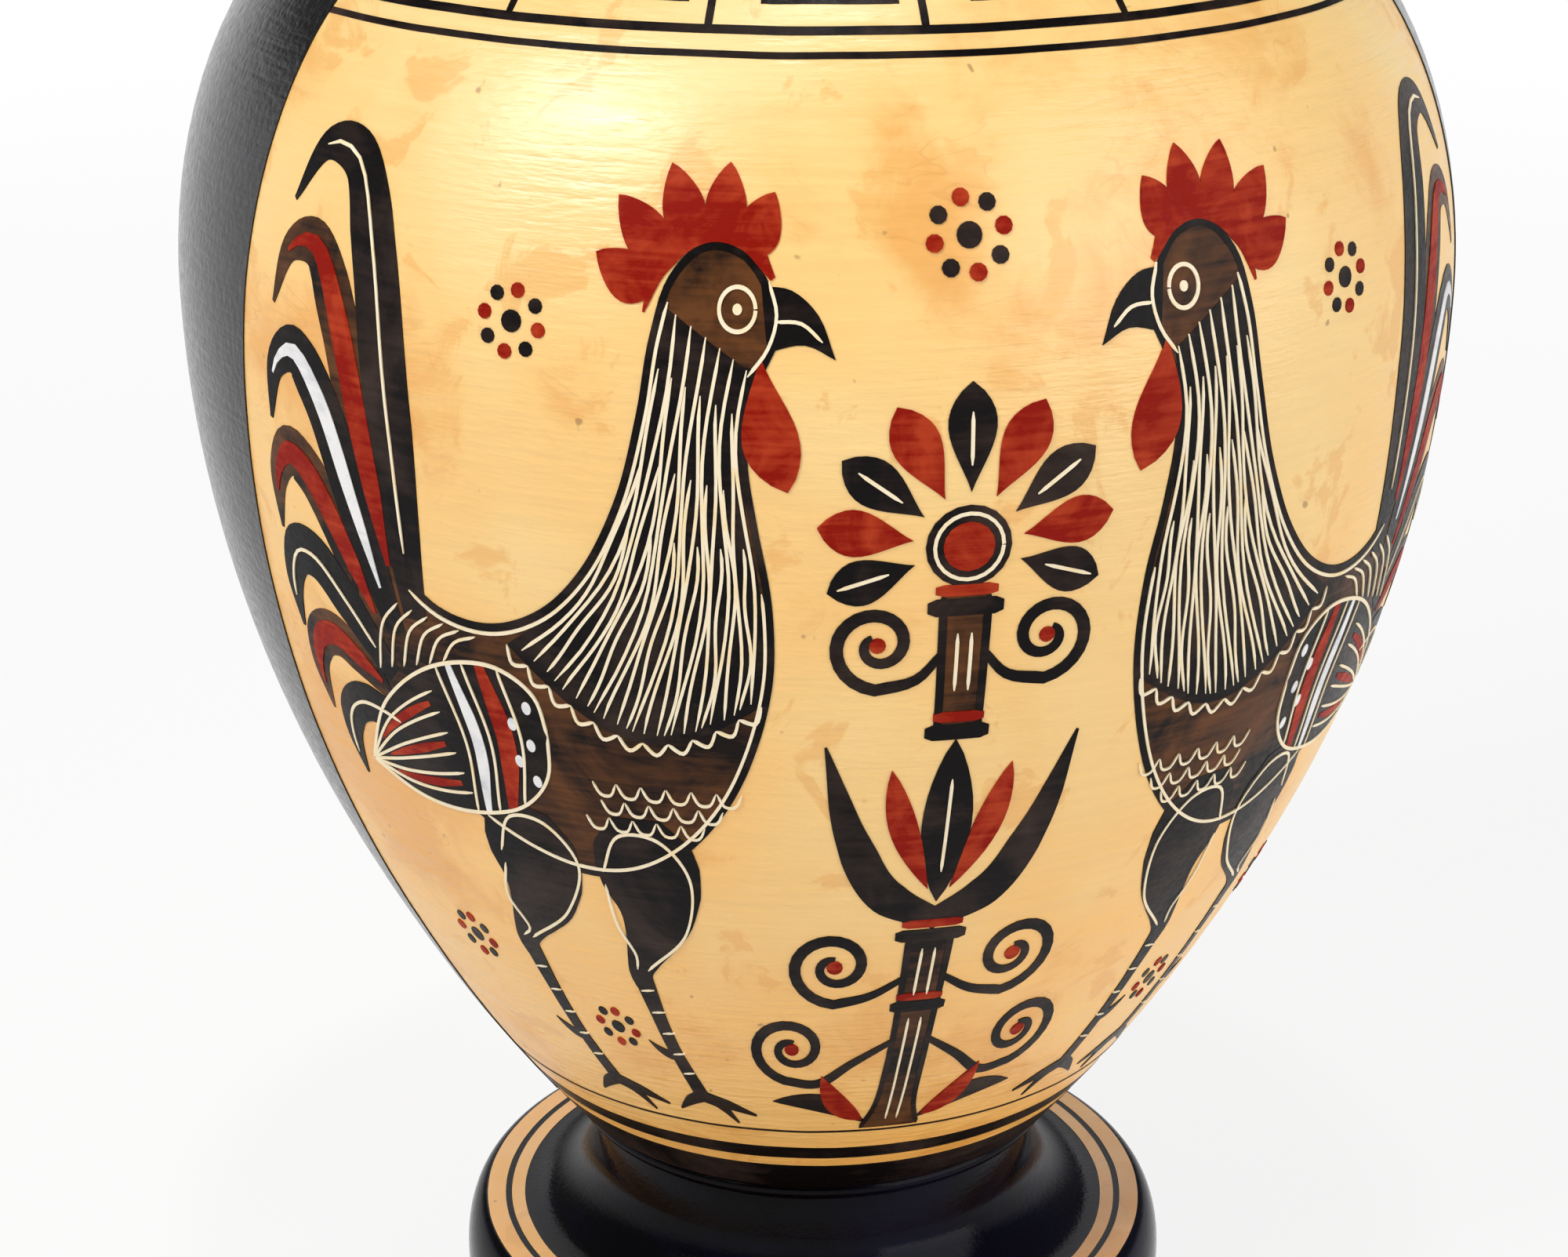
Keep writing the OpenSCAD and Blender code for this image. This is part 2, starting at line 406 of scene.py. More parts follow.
def ring(c, r, gap, n):
    """Circle as an open path, because a closed stroke would fill its inside; gap is in degrees"""
    a = np.radians(np.linspace(gap / 2, 360 - gap / 2, n))
    return np.column_stack([c[0] + r * np.cos(a), c[1] + r * np.sin(a)])


def pick(c, t):
    """Points at the parts t of a curve"""
    run = run_of(c)
    return np.column_stack([np.interp(np.asarray(t) * run[-1], run, c[:, i]) for i in (0, 1)])


def between(left, right, k, t0=0.0, t1=1.0, n=16):
    """Curve that runs the part k of the way from one edge to the other"""
    t = np.linspace(t0, t1, n)
    return pick(curve(left, 1), t) * (1 - k) + pick(curve(right, 1), t) * k


class Art:
    """Outlines of a flat drawing, sorted by the coat that they are painted in"""
    COATS = ("wash", "black", "red", "white", "line")

    def __init__(self):
        self.shapes = {k: [] for k in self.COATS}

    def add(self, coat, *outlines):
        self.shapes[coat].extend(np.array(o, float) for o in outlines)

    def draw(self, coat, points, width=0.5, **how):
        self.add(coat, stroke(points, width, **how))

    def place(self, other, dx=0, dy=0, scale=(1, 1)):
        for coat, outlines in other.shapes.items():
            self.add(coat, *(o * np.array(scale) + [dx, dy] for o in outlines))

    def both(self, half):
        """A half drawing and its mirror image"""
        self.place(half)
        self.place(half, scale=(-1, 1))


# ---- ornaments ----

def palmette(art, c, r, leaves=9, spread=200, heart=.26, facing=90):
    """Fan of slim leaves, black and red in turn, round a heart; spread and facing are in degrees"""
    c = np.array(c, float)
    for k in range(leaves):
        a = math.radians(facing - spread / 2 + spread * k / (leaves - 1))
        u = np.array([math.cos(a), math.sin(a)])
        tip = c + u * r * (1 - .12 * abs(2 * k / (leaves - 1) - 1))
        width = r * math.radians(spread) / (leaves - 1) * .62
        art.add("red" if k % 2 else "black", leaf(c + u * r * heart * 1.3, tip, width, 0, .62))
        if not k % 2:
            art.draw("line", [c + u * r * .5, c + u * r * .82])
    art.add("black", disc(c, r * heart, n=20))
    art.add("red", disc(c, r * heart * .6, n=16))
    art.draw("line", ring(c, r * heart * .8, 2, 25), ends=(1, 1))


def tendril(art, points, c, turns, width):
    """Stem along a path that winds on into a scroll round c"""
    p = curve(points, 1.5)
    c = np.array(c, float)
    r, a = np.linalg.norm(p[-1] - c), math.atan2(*(p[-1] - c)[::-1])
    t = np.linspace(0, 1, 36)[1:]
    rr, aa = r * (1 - .82 * t ** .85), a + turns * 2 * math.pi * t
    p = np.vstack([p, np.column_stack([c[0] + rr * np.cos(aa), c[1] + rr * np.sin(aa)])])
    art.draw("black", p, [width * k for k in (.6, 1, 1, 1, .9, .7)])
    art.add("red", disc(c, r * .17, n=12))


def rosette(art, c, r=4.2):
    """Eight dots round a middle one"""
    art.add("black", disc(c, r * .36))
    for k in range(8):
        a = 2 * math.pi * k / 8 + .2
        dot = (c[0] + r * math.cos(a), c[1] + r * math.sin(a))
        art.add("black" if k % 2 else "red", disc(dot, r * .25, n=10))


def lotus(art, c, w, h):
    """Open lotus: a calyx, red inner petals and a tall middle petal"""
    x, y = c
    for s in (-1, 1):
        art.draw("black", [(x - s * w * .04, y), (x + s * w * .3, y + h * .18), (x + s * w * .48, y + h * .5),
                           (x + s * w * .62, y + h * .98)], (w * .12, w * .22, w * .2, w * .12, .4))
        art.add("red", leaf((x + s * w * .06, y + h * .2), (x + s * w * .3, y + h * .86),
                            w * .15, -.04 * s, .55))
    art.add("black", leaf((x, y + h * .12), (x, y + h), w * .26))
    art.draw("line", [(x, y + h * .3), (x, y + h * .8)])


# ---- the cockerel, which faces right and stands on y = 0 ----

def tail(art):
    """Sickle feathers that rise from the rump and fall back in arcs"""
    sickles = [
        ("black", [(-24, 92), (-25, 118), (-28.5, 140), (-35, 152), (-43, 153), (-49, 145)], 9.5),
        ("wash", [(-27, 91), (-30.5, 113), (-35.5, 131), (-42, 140), (-48.5, 139), (-52.5, 131)], 9),
        ("black", [(-29, 89), (-34.5, 107), (-40.5, 120), (-47, 125.5), (-52, 123), (-54.5, 115)], 8.6),
        ("wash", [(-31, 86), (-38, 100), (-45, 109), (-50.5, 111), (-54.5, 107), (-56, 99)], 8.2),
        ("black", [(-32, 82), (-40.5, 91.5), (-47, 96.5), (-52, 96.5), (-55.5, 92), (-56.5, 84)], 7.8),
        ("wash", [(-32, 78), (-40, 82.5), (-46.5, 85), (-51.5, 83.5), (-54.5, 79), (-55, 71)], 7.2),
        ("black", [(-30, 73), (-38, 75), (-43.5, 75), (-48, 72.5), (-50.5, 68), (-51, 61)], 6.4)]
    for i, (coat, path, width) in enumerate(sickles):
        art.draw(coat, path, [width * k for k in (.5, .8, 1, 1, .95, .6, .08)])
        mid = pick(curve(path, 1), np.linspace(.12, .88, 22))
        if i % 2:
            art.draw("red", mid, [width * k for k in (.1, .42, .5, .5, .36, .06)])
        elif i == 2:
            art.draw("white", mid, [width * k for k in (.06, .26, .34, .34, .26, .05)])
        else:
            art.draw("line", mid)


def trunk(art):
    """Body and neck in one mass, with scratched lines inside its edge"""
    mass = curve([
        (38, 140), (34, 145), (28, 146), (23, 142), (20.5, 135), (18.5, 125), (15, 114), (9, 104),
        (1, 97), (-9, 93.5), (-19, 94.5), (-27, 99.5), (-33, 104), (-37, 97), (-36, 84), (-31, 73),
        (-23, 64), (-12, 58), (0, 55), (11, 56), (21, 61), (29, 69), (34.5, 79), (37.5, 90),
        (37.5, 101), (35.5, 111), (34, 120), (34.5, 127), (37, 132), (39, 136)], 1.5, closed=True)
    art.add("wash", mass)
    art.draw("black", mass[:-2], 1.1)
    d = np.roll(mass, -1, axis=0) - np.roll(mass, 1, axis=0)
    inset = mass + np.column_stack([-d[:, 1], d[:, 0]]) / np.linalg.norm(d, axis=1)[:, None] * .9
    for first, last in ((.085, .345), (.56, .87)):
        art.draw("line", inset[int(first * len(mass)):int(last * len(mass))])


def head(art):
    """Comb, wattle, beak and eye"""
    for k in range(5):
        u = np.array([math.cos(math.radians(52 + 27 * k)), math.sin(math.radians(52 + 27 * k))])
        tip = np.array([17.5 + 2.4 * (0 < k < 4), 18]) * u
        art.add("red", leaf(u * 9.3 + [29.5, 137.5], tip + [27.5, 138.5], 6.4, .05, .42))
    art.draw("red", [(38.2, 142.3), (33.7, 147.5), (27.3, 148.2), (21.3, 143.8), (18.9, 137.8)],
             (.8, 3.6, 4, 3.2, .3))
    art.add("red", leaf((36.5, 133), (40.5, 116), 8.4, -.06, .62))
    art.add("black", np.vstack([curve([(36.5, 141.5), (41, 141), (45, 138), (47.5, 132.6)]),
                                curve([(47.5, 132.6), (43, 134.4), (37.5, 133.5)])[1:]]))
    eye = (33, 138.6)
    art.draw("line", [(38.5, 137.2), (42.5, 137), (45.6, 134.8)], .45)
    art.draw("line", ring(eye, 2.7, 4, 31), .55, ends=(1, 1))
    art.add("line", disc(eye, .7))
    art.draw("line", [(37.6, 142), (38.8, 138), (37.6, 134), (34.6, 130.5)])


def hackle(art):
    """Close wavy feather lines on the neck with a scalloped lower edge, and rows of small scales under it"""
    nape = [(21.5, 139), (19.6, 127), (16, 114.5), (10, 104), (2, 96.5), (-6, 91.5)]
    throat = [(35, 131), (33.8, 122), (34.4, 112), (36.2, 103), (37, 95), (36.2, 86)]
    droop = 9.5
    rim = [between(nape, throat, k, 1, 1, 1)[0] - (0, droop * math.sin(math.pi * k))
           for k in np.linspace(0, 1, 9)]
    art.add("black", np.vstack([curve(nape, 1), curve(rim, 1)[1:], curve(throat, 1)[::-1][1:]]))
    for i in range(1, 25):
        k, first = i / 25, (0, .34, .13, .5)[i % 4]
        p = between(nape, throat, k, first, .97, 18)
        p[:, 1] -= droop * math.sin(math.pi * k) * np.linspace(first, .985, 18) ** 3
        p[:, 0] += .45 * np.sin(np.linspace(0, 9, 18) + 1.7 * i)
        art.draw("line", p)
    lobes = pick(curve(rim, 1), np.linspace(0, 1, 12))
    for a, b in zip(lobes, lobes[1:]):
        d = b - a
        art.draw("line", [a, (a + b) / 2 + np.array([d[1], -d[0]]) * .42, b], step=.8)
    for row in range(3):
        for col in range(-2, 6):
            x, y = 17 + col * 4.4 + (row % 2) * 2.2 - row * 1.2, 70.5 - row * 3
            if 7 - row < x < 31 - row * 1.8:
                art.draw("line", [(x - 2.1, y + 1.2), (x - .9, y - .8), (x + .9, y - .8), (x + 2.1, y + 1.2)],
                         .4, step=.8)


def wing(art):
    """Shoulder with white dots, bars between scratched lines and long quills, and lines over the rump"""
    top = [(-1, 78), (-2.5, 84), (-9, 87.5), (-22, 85.5), (-36, 77), (-46, 65)]
    low = [(-1, 78), (-2.5, 71), (-9, 65), (-22, 61.5), (-34, 61.5), (-46, 65)]
    art.add("black", np.vstack([curve(top), curve(low)[::-1][1:-1]]))
    art.draw("line", top, .55)
    art.draw("line", low, .55)
    bars = ((.25, "line", .5), (.31, "red", 3.6), (.37, "line", .5), (.42, "white", 2.4), (.47, "line", .5))
    for k, coat, w in bars:
        a, b = pick(curve(top, 1), [k - .02])[0], pick(curve(low, 1), [k + .04])[0]
        widths = w if coat == "line" else (w * .5, w, w, w * .5)
        art.draw(coat, [a, (a + b) / 2 + np.array([2.4, 0]), b], widths)
    for k in range(1, 7):
        art.draw("line", between(top, low, k / 7, .5, .985), .45)
    for k in (1.5, 3.5, 5.5):
        art.draw("red", between(top, low, k / 7, .53, .86), (.8, 1.5, 1.3, .3))
    for c in ((-4.2, 82), (-4.6, 76), (-4.8, 70), (-7.6, 79), (-7.6, 73)):
        art.add("white", disc(c, 1, .85))
    for k in range(6):
        x = -12 - 3.1 * k
        art.draw("line", [(x, 91.6 + .45 * k), (x - 4.5, 90), (x - 7.6, 86.5 - k * .8)], .42)


def legs(art):
    """Feathered thighs, scaled shanks, three toes and a spur"""
    joints = (((13, 66), (13, 48), (7, 35), (13, 5)), ((-9, 65), (-12, 49), (-20, 37), (-14, 5)))
    for hip, knee, hock, foot in joints:
        art.draw("black", [hip, knee, hock, (hock[0] + .3, hock[1] - 3)],
                 (9, 18.5, 20.5, 19.5, 16, 11.5, 8, 5.6, 4.6))
        art.draw("black", [hock, ((hock[0] + foot[0]) / 2 - .8, 18), foot], (4.8, 3.6, 3.4, 4.2))
        for x, y in ((15, .8), (9, -2), (-8.5, .2)):
            art.draw("black", [foot, (foot[0] + x / 2, 3.2), (foot[0] + x, y)], (3.2, 2.6, .5))
        spur = ((hock[0] * .45 + foot[0] * .55, 15), ((hock[0] + foot[0]) / 2 - 7, 18.5))
        art.add("black", leaf(*spur, 2.2, .1, .3))
        art.draw("line", [(hip[0] - 8.6, 53), (knee[0] - 8.2, knee[1] - 3), (knee[0] - 5.8, knee[1] - 9),
                          (hock[0] - .4, hock[1] + 1)])
        art.draw("line", [(hip[0] - 8.4, 55.5), (hip[0] - 4, 62.5), (hip[0] + 3.5, 62.5), (hip[0] + 8.6, 56),
                          (knee[0] + 6.2, knee[1] - 3), (hock[0] + 2, hock[1] + 1)])
        for j in range(5):
            x, y = hock[0] + (foot[0] - hock[0]) * (j + .4) / 6, 31 - j * 5
            art.draw("line", [(x - 1.6, y), (x + 1.6, y + .5)], .4)


def cockerel():
    art = Art()
    for part in (tail, trunk, head, hackle, wing, legs):
        part(art)
    return art


# ---- the drawings ----

def front():
    """Two cockerels face each other over a flowering stem"""
    art, half = Art(), Art()
    half.add("wash", [(0, 1), (7.5, 1), (5, 8), (3.9, 20), (3.6, 53), (0, 53)],
             [(0, 92), (2.8, 92), (3, 114), (0, 114)])
    half.draw("black", [(8, 1), (5.2, 8), (4.1, 20), (3.8, 53)], 1.3)
    half.draw("black", [(3, 92), (3.2, 114)], 1.2)
    half.add("black", leaf((7, 3), (31, 10), 5.4, .12))
    half.add("red", leaf((8, 4), (19, 18), 5.6, -.12, .45))
    for groove in ([(1.5, 4), (1.3, 33)], [(1.3, 39), (1.2, 50)], [(1, 99), (1, 108)]):
        half.draw("line", groove)
    tendril(half, [(4, 27), (12, 21.5), (20, 15.6), (27.5, 16.4)], (25.6, 25.4), 1.5, 2.3)
    tendril(half, [(4, 43), (10, 39.2), (17, 37.4)], (17, 46.4), 1.5, 2.2)
    tendril(half, [(3, 105), (6.6, 101), (12.4, 99.6)], (12.2, 106.6), 1.4, 1.9)
    half.place(cockerel(), 61, 4, scale=(-.9, 1.08))
    for c in ((63, 150), (65, 26), (95, 40)):
        rosette(half, c)
    art.both(half)
    for y, w in ((36, 5.6), (53, 6.4), (92, 4.8), (112, 5.4)):
        art.draw("black", [(-w, y), (w, y)], 2.6, ends=(.6, .6))
        art.draw("red", [(-w + 1, y + 2.6), (w - 1, y + 2.6)], 1.7, ends=(.6, .6))
    lotus(art, (0, 56), 31, 34.8)
    palmette(art, (0, 121), 23, 9, 216, .26)
    rosette(art, (0, 163), 5)
    return art


def back():
    """A cross of palmettes and lotus flowers between scrolling tendrils"""
    art, half = Art(), Art()
    for stem in (
            ([(0, 104), (9, 100), (17, 92), (28, 84.5), (41, 82), (53, 85.5)], (53.5, 97), 1.6, 2.8),
            ([(55, 84), (62, 72), (72, 56), (85, 47)], (86, 57), 1.4, 2.4),
            ([(62, 106), (66, 120), (74, 136), (86, 144)], (86.5, 134), -1.4, 2.4),
            ([(8, 144), (18, 152), (26, 166), (38, 172.5)], (39, 162.5), -1.4, 2.2),
            ([(50, 164), (58, 156), (70, 152), (84, 157)], (83.5, 163.5), 1.2, 1.8),
            ([(7, 46), (18, 38), (26, 24), (38, 16.5)], (39, 27), 1.4, 2.2),
            ([(50, 26), (58, 33), (70, 36), (84, 31)], (83.5, 24), -1.2, 1.8)):
        tendril(half, *stem)
    palmette(half, (86, 96), 25, 9, 200, .22, 0)
    half.add("red", leaf((22, 160), (16, 176), 5, -.1), leaf((22, 30), (15, 14), 5, .1),
             leaf((66, 68), (56, 56), 4.6, .1), leaf((68, 124), (57, 136), 4.6, -.1))
    half.add("black", leaf((60, 155), (60, 169), 4.4, -.12), leaf((60, 33.5), (60, 20), 4.4, .12))
    for c in ((110, 128), (110, 66), (101, 176), (62, 180), (62, 10), (100, 12)):
        rosette(half, c, 3.6)
    art.both(half)
    palmette(art, (0, 114), 42, 13, 214, .2)
    palmette(art, (0, 76), 36, 11, 206, .2, -90)
    lotus(art, (0, 159), 20, 24)
    lotus(art, (0, 6), 22, 29)
    return art


def key_cell(width, g, line):
    """One turn of the running key, four steps of g high: a riser, a roof and an inward hook"""
    art = Art()
    path = np.array([(width, 0), (width, 4 * g), (2 * g, 4 * g), (2 * g, g), (width - g, g),
                     (width - g, 3 * g), (3.4 * g, 3 * g), (3.4 * g, 2 * g)])
    for a, b in zip(path, path[1:]):
        d = (b - a) / np.linalg.norm(b - a) * line * .46
        art.draw("black", [a - d, b + d], line, ends=(.85, .85), step=1.6)
    return art


def tongues(pitch, h):
    """A black and a red tongue that hang from the neck's root"""
    art = Art()
    for k, coat in enumerate(("black", "red")):
        x = pitch * (k + .5) / 2
        art.draw(coat, [(x, h * .16), (x, h * .5), (x, h)], [pitch * w for w in (.16, .34, .36, .36, .34)])
        art.draw("black", [(x + pitch / 4, h * .1), (x + pitch / 4, h)], .7)
    return art


def chain(pitch, h):
    """Palmette and lotus, up and down, tied by scrolls"""
    art, hanging = Art(), Art()
    palmette(art, (pitch / 4, h * .56), h * .4, 7, 190, .24)
    lotus(art, (pitch * .75, h * .54), pitch * .3, h * .42)
    palmette(hanging, (pitch * .75, h * .54), h * .38, 7, 190, .24)
    lotus(hanging, (pitch / 4, h * .52), pitch * .28, h * .38)
    art.place(hanging, 0, h, scale=(1, -1))
    for x in (0, pitch / 2):
        art.draw("black", [(x, h * .5), (x + pitch * .12, h * .56), (x + pitch * .38, h * .44),
                           (x + pitch * .5, h * .5)], (1.2, 1.4, 1.4, 1.2))
    return art


# ---- geometry node trees ----

MERGE = 0.000004  # metres, under which points are one


def turning_tree():
    """A half section turned round the pot's axis"""
    tree, given = new_tree("Turned Form", Section=("Object", None), Rows=("Int", 10), Segments=("Int", 192),
                           Finish=("Material", None))
    node = partial(add, tree)
    section = node("GeometryNodeObjectInfo", {"Object": given["Section"]})
    columns = node("ShaderNodeMath", {0: given["Segments"], 1: 1.0}, operation="ADD")
    grid = node("GeometryNodeMeshGrid", {"Vertices X": columns, "Vertices Y": given["Rows"]})
    index = node("GeometryNodeInputIndex")
    row = node("ShaderNodeMath", {0: index, 1: given["Rows"]}, operation="MODULO")
    part = node("ShaderNodeMath", {0: index, 1: given["Rows"]}, operation="DIVIDE")
    column = node("ShaderNodeMath", {0: part}, operation="FLOOR")
    share = node("ShaderNodeMath", {0: column, 1: given["Segments"]}, operation="DIVIDE")
    angle = node("ShaderNodeMath", {0: share, 1: 2 * math.pi}, operation="MULTIPLY")
    place = node("GeometryNodeInputPosition")
    spot = node("GeometryNodeSampleIndex", {
        "Geometry": section.outputs["Geometry"], "Value": place, "Index": row},
                data_type="FLOAT_VECTOR", domain="POINT")
    turned = node("ShaderNodeVectorRotate", {"Vector": spot, "Angle": angle}, rotation_type="Z_AXIS")
    moved = node("GeometryNodeSetPosition", {"Geometry": grid, "Position": turned})
    merged = node("GeometryNodeMergeByDistance", {"Geometry": moved, "Distance": MERGE})
    return end_tree(tree, given, merged)


def painting_tree():
    """A flat drawing, repeated along its length, trembled like brushwork and laid on a turned wall"""
    tree, given = new_tree(
        "Painted Skin", Wall=("Object", None), Drawn_Radius=("Float", 0.1), Start=("Float", 0.0),
        Turn=("Float", 0.0), Lift=("Float", 0.0001), Count=("Int", 1), Pitch=("Float", 0.0),
        Tremble=("Float", 0.0), Seed=("Float", 0.0), Finish=("Material", None))
    node = partial(add, tree)
    step = node("ShaderNodeCombineXYZ", {"X": given["Pitch"]})
    row = node("GeometryNodeMeshLine", {"Count": given["Count"], "Offset": step}, mode="OFFSET")
    copies = node("GeometryNodeInstanceOnPoints", {"Points": row, "Instance": given["Geometry"]})
    flat = node("GeometryNodeRealizeInstances", {"Geometry": copies})
    # the brush's tremble
    place = node("GeometryNodeInputPosition")
    shift = node("ShaderNodeCombineXYZ", {"Z": given["Seed"]})
    spot = node("ShaderNodeVectorMath", {0: place, 1: shift}, operation="ADD")
    noise = node("ShaderNodeTexNoise", {"Vector": spot, NOISE: (55.0, 1.0)}).outputs["Color"]
    centred = node("ShaderNodeVectorMath", {0: noise, 1: (0.5, 0.5, 0.5)}, operation="SUBTRACT")
    shake = node("ShaderNodeVectorMath", {0: centred, "Scale": given["Tremble"]}, operation="SCALE")
    drawn = node("ShaderNodeVectorMath", {0: place, 1: shake}, operation="ADD")
    # along the drawing is round the pot, and up the drawing is up the wall
    axes = node("ShaderNodeSeparateXYZ", {"Vector": drawn}).outputs
    along = node("ShaderNodeMath", {0: axes["X"], 1: given["Drawn Radius"]}, operation="DIVIDE")
    angle = node("ShaderNodeMath", {0: along, 1: given["Turn"]}, operation="ADD")
    up = node("ShaderNodeMath", {0: axes["Y"], 1: given["Start"]}, operation="ADD")
    wall = node("GeometryNodeObjectInfo", {"Object": given["Wall"]})
    on = node("GeometryNodeSampleCurve", {"Curves": wall.outputs["Geometry"], "Length": up}, mode="LENGTH",
              use_all_curves=True).outputs
    tangent = node("ShaderNodeSeparateXYZ", {"Vector": on["Tangent"]}).outputs
    inward = node("ShaderNodeMath", {0: tangent["X"], 1: -1.0}, operation="MULTIPLY")
    normal = node("ShaderNodeCombineXYZ", {"X": tangent["Z"], "Z": inward})
    raised = node("ShaderNodeVectorMath", {0: normal, "Scale": given["Lift"]}, operation="SCALE")
    skin = node("ShaderNodeVectorMath", {0: on["Position"], 1: raised}, operation="ADD")
    quarter = node("ShaderNodeMath", {0: angle, 1: math.pi / 2}, operation="SUBTRACT")
    turned = node("ShaderNodeVectorRotate", {"Vector": skin, "Angle": quarter}, rotation_type="Z_AXIS")
    moved = node("GeometryNodeSetPosition", {"Geometry": flat, "Position": turned})
    merged = node("GeometryNodeMergeByDistance", {"Geometry": moved, "Distance": MERGE})
    return end_tree(tree, given, merged)


def handle_tree():
    """An oval section swept along one bow, wider at both roots"""
    tree, given = new_tree(
        "Bowed Handle", Neck_Root=("Vector", None), Rise=("Vector", None), Fall=("Vector", None),
        Shoulder_Root=("Vector", None), Width=("Float", 0.018), Depth=("Float", 0.014), Swell=("Float", 1.5),
        Root_Run=("Float", 0.26), Finish=("Material", None))
    node = partial(add, tree)
    bow = node("GeometryNodeCurvePrimitiveBezierSegment", {
        "Start": given["Neck Root"], "Start Handle": given["Rise"], "End Handle": given["Fall"],
        "End": given["Shoulder Root"], "Resolution": 72}, mode="POSITION")
    way = node("GeometryNodeSplineParameter").outputs["Factor"]
    rest = node("ShaderNodeMath", {0: 1.0, 1: way}, operation="SUBTRACT")
    end = node("ShaderNodeMath", {0: way, 1: rest}, operation="MINIMUM")
    near = node("ShaderNodeMath", {0: end, 1: given["Root Run"]}, operation="DIVIDE")
    left = node("ShaderNodeMath", {0: 1.0, 1: near}, operation="SUBTRACT", use_clamp=True)
    square = node("ShaderNodeMath", {0: left, 1: 2.0}, operation="POWER")
    extra = node("ShaderNodeMath", {0: given["Swell"], 1: 1.0}, operation="SUBTRACT")
    radius = node("ShaderNodeMath", {0: square, 1: extra, 2: 1.0}, operation="MULTIPLY_ADD")
    swept = node("GeometryNodeSetCurveRadius", {"Curve": bow, "Radius": radius})
    circle = node("GeometryNodeCurvePrimitiveCircle", {"Resolution": 48, "Radius": 0.5})
    size = node("ShaderNodeCombineXYZ", {"X": given["Depth"], "Y": given["Width"], "Z": 1.0})
    oval = node("GeometryNodeTransform", {"Geometry": circle, "Scale": size})
    tube = node("GeometryNodeCurveToMesh", {"Curve": swept, "Profile Curve": oval, "Fill Caps": True})
    return end_tree(tree, given, tube)


# ---- pieces from the trees ----

SUNK = 0.03 * MM  # how far a coat reaches under the wall's skin
SHORTEST = 0.02  # mm, under which an edge of an outline is left out


def turn(name, section, finish, *replaced, segments=192):
    """Turned piece from a closed section in mm"""
    closed = np.vstack([section, section[:1]])
    path = path_object(name + "_section", closed)
    source = linked(name + "_source", bpy.data.meshes.new(name))
    use_tree(source, tree_of(turning_tree, "Turned Form"),
             {"Section": path, "Rows": len(closed), "Segments": segments, "Finish": finishes()[finish]})
    plain(name, source, finish, *replaced)
    bpy.data.objects.remove(path)


def split_edges(outline, longest=3.0):
    """Closed outline with points added on its long edges, so that they can follow the wall"""
    out = []
    for a, b in zip(outline, np.roll(outline, -1, axis=0)):
        n = int(np.linalg.norm(b - a) / longest) + 1
        out.extend(a + (b - a) * k / n for k in range(n))
    return np.array(out)


def flat_mesh(name, outlines, grid):
    """One triangulation of overlapping outlines in mm, with points a grid apart inside so that it can bend"""
    points, faces = [], []
    for outline in outlines:
        edges = np.roll(outline, -1, axis=0) - outline
        outline = outline[np.linalg.norm(edges, axis=1) > SHORTEST]
        if len(outline) < 3:
            continue
        outline = wound(split_edges(outline))
        faces.append(list(range(len(points), len(points) + len(outline))))
        points.extend(Vector(p) for p in outline)
    if grid:
        lo, hi = np.min(points, axis=0), np.max(points, axis=0)
        points.extend(Vector((x, y)) for x in np.arange(lo[0], hi[0], grid)
                      for y in np.arange(lo[1], hi[1], grid))
    # output type 1 gives the triangles that lie inside the outlines, with the outlines that each lies in
    spots, _, triangles, _, _, sources = geometry.delaunay_2d_cdt(points, [], faces, 1, 1e-4, True)
    kept = [f for f, source in zip(triangles, sources) if source]
    used = sorted({v for f in kept for v in f})
    renumber = {v: i for i, v in enumerate(used)}
    mesh = bpy.data.meshes.new(name)
    mesh.from_pydata([(spots[v][0] * MM, spots[v][1] * MM, 0) for v in used], [],
                     [[renumber[v] for v in f] for f in kept])
    return mesh


def paint(name, outlines, finish, wall, start, coats=0, angle=0.0, radius=BELLY, count=1, pitch=0.0,
          tremble=0.25, grid=4.0):
    """Coat of slip on a turned wall, in mm: start is the length up the wall at y = 0, angle is in radians, and
    coats is how many coats lie under it"""
    sizes = bpy.context.scene.amphora_sizes
    lift = sizes.coat + sizes.step * coats
    seed = sum((i + 1) * ord(c) for i, c in enumerate(name)) % 97 * 0.1
    source = linked(name + "_source", flat_mesh(name, outlines, grid))
    use_tree(source, tree_of(painting_tree, "Painted Skin"), {
        "Wall": wall.path, "Drawn Radius": radius * MM, "Start": start * MM, "Turn": angle, "Lift": lift,
        "Count": count, "Pitch": pitch * MM, "Tremble": tremble * MM, "Seed": seed,
        "Finish": finishes()[finish]})
    thick = source.modifiers.new("Coat", "SOLIDIFY")
    thick.thickness, thick.offset, thick.use_even_offset = lift + SUNK, -1, False
    plain(name, source, finish)


def strips(*bands, radius=BELLY, across=2.5, up=1.5):
    """Flat bands of full length, each between two heights, in rows low enough to follow the wall; across and
    up are how far apart the points may stand"""
    span = math.pi * radius
    x = np.linspace(-span, span, int(2 * span / across) + 1)
    out = []
    for low, high in bands:
        rows = np.linspace(low, high, int((high - low) / up) + 2)
        lines = [np.column_stack([x, np.full(len(x), y)]) for y in rows]
        out += [np.vstack([a, b[::-1]]) for a, b in zip(lines, lines[1:])]
    return out


# ---- finishes ----

def per(mm):
    """Scale at which a noise makes marks of about this many millimetres"""
    return 1 / (mm * MM)


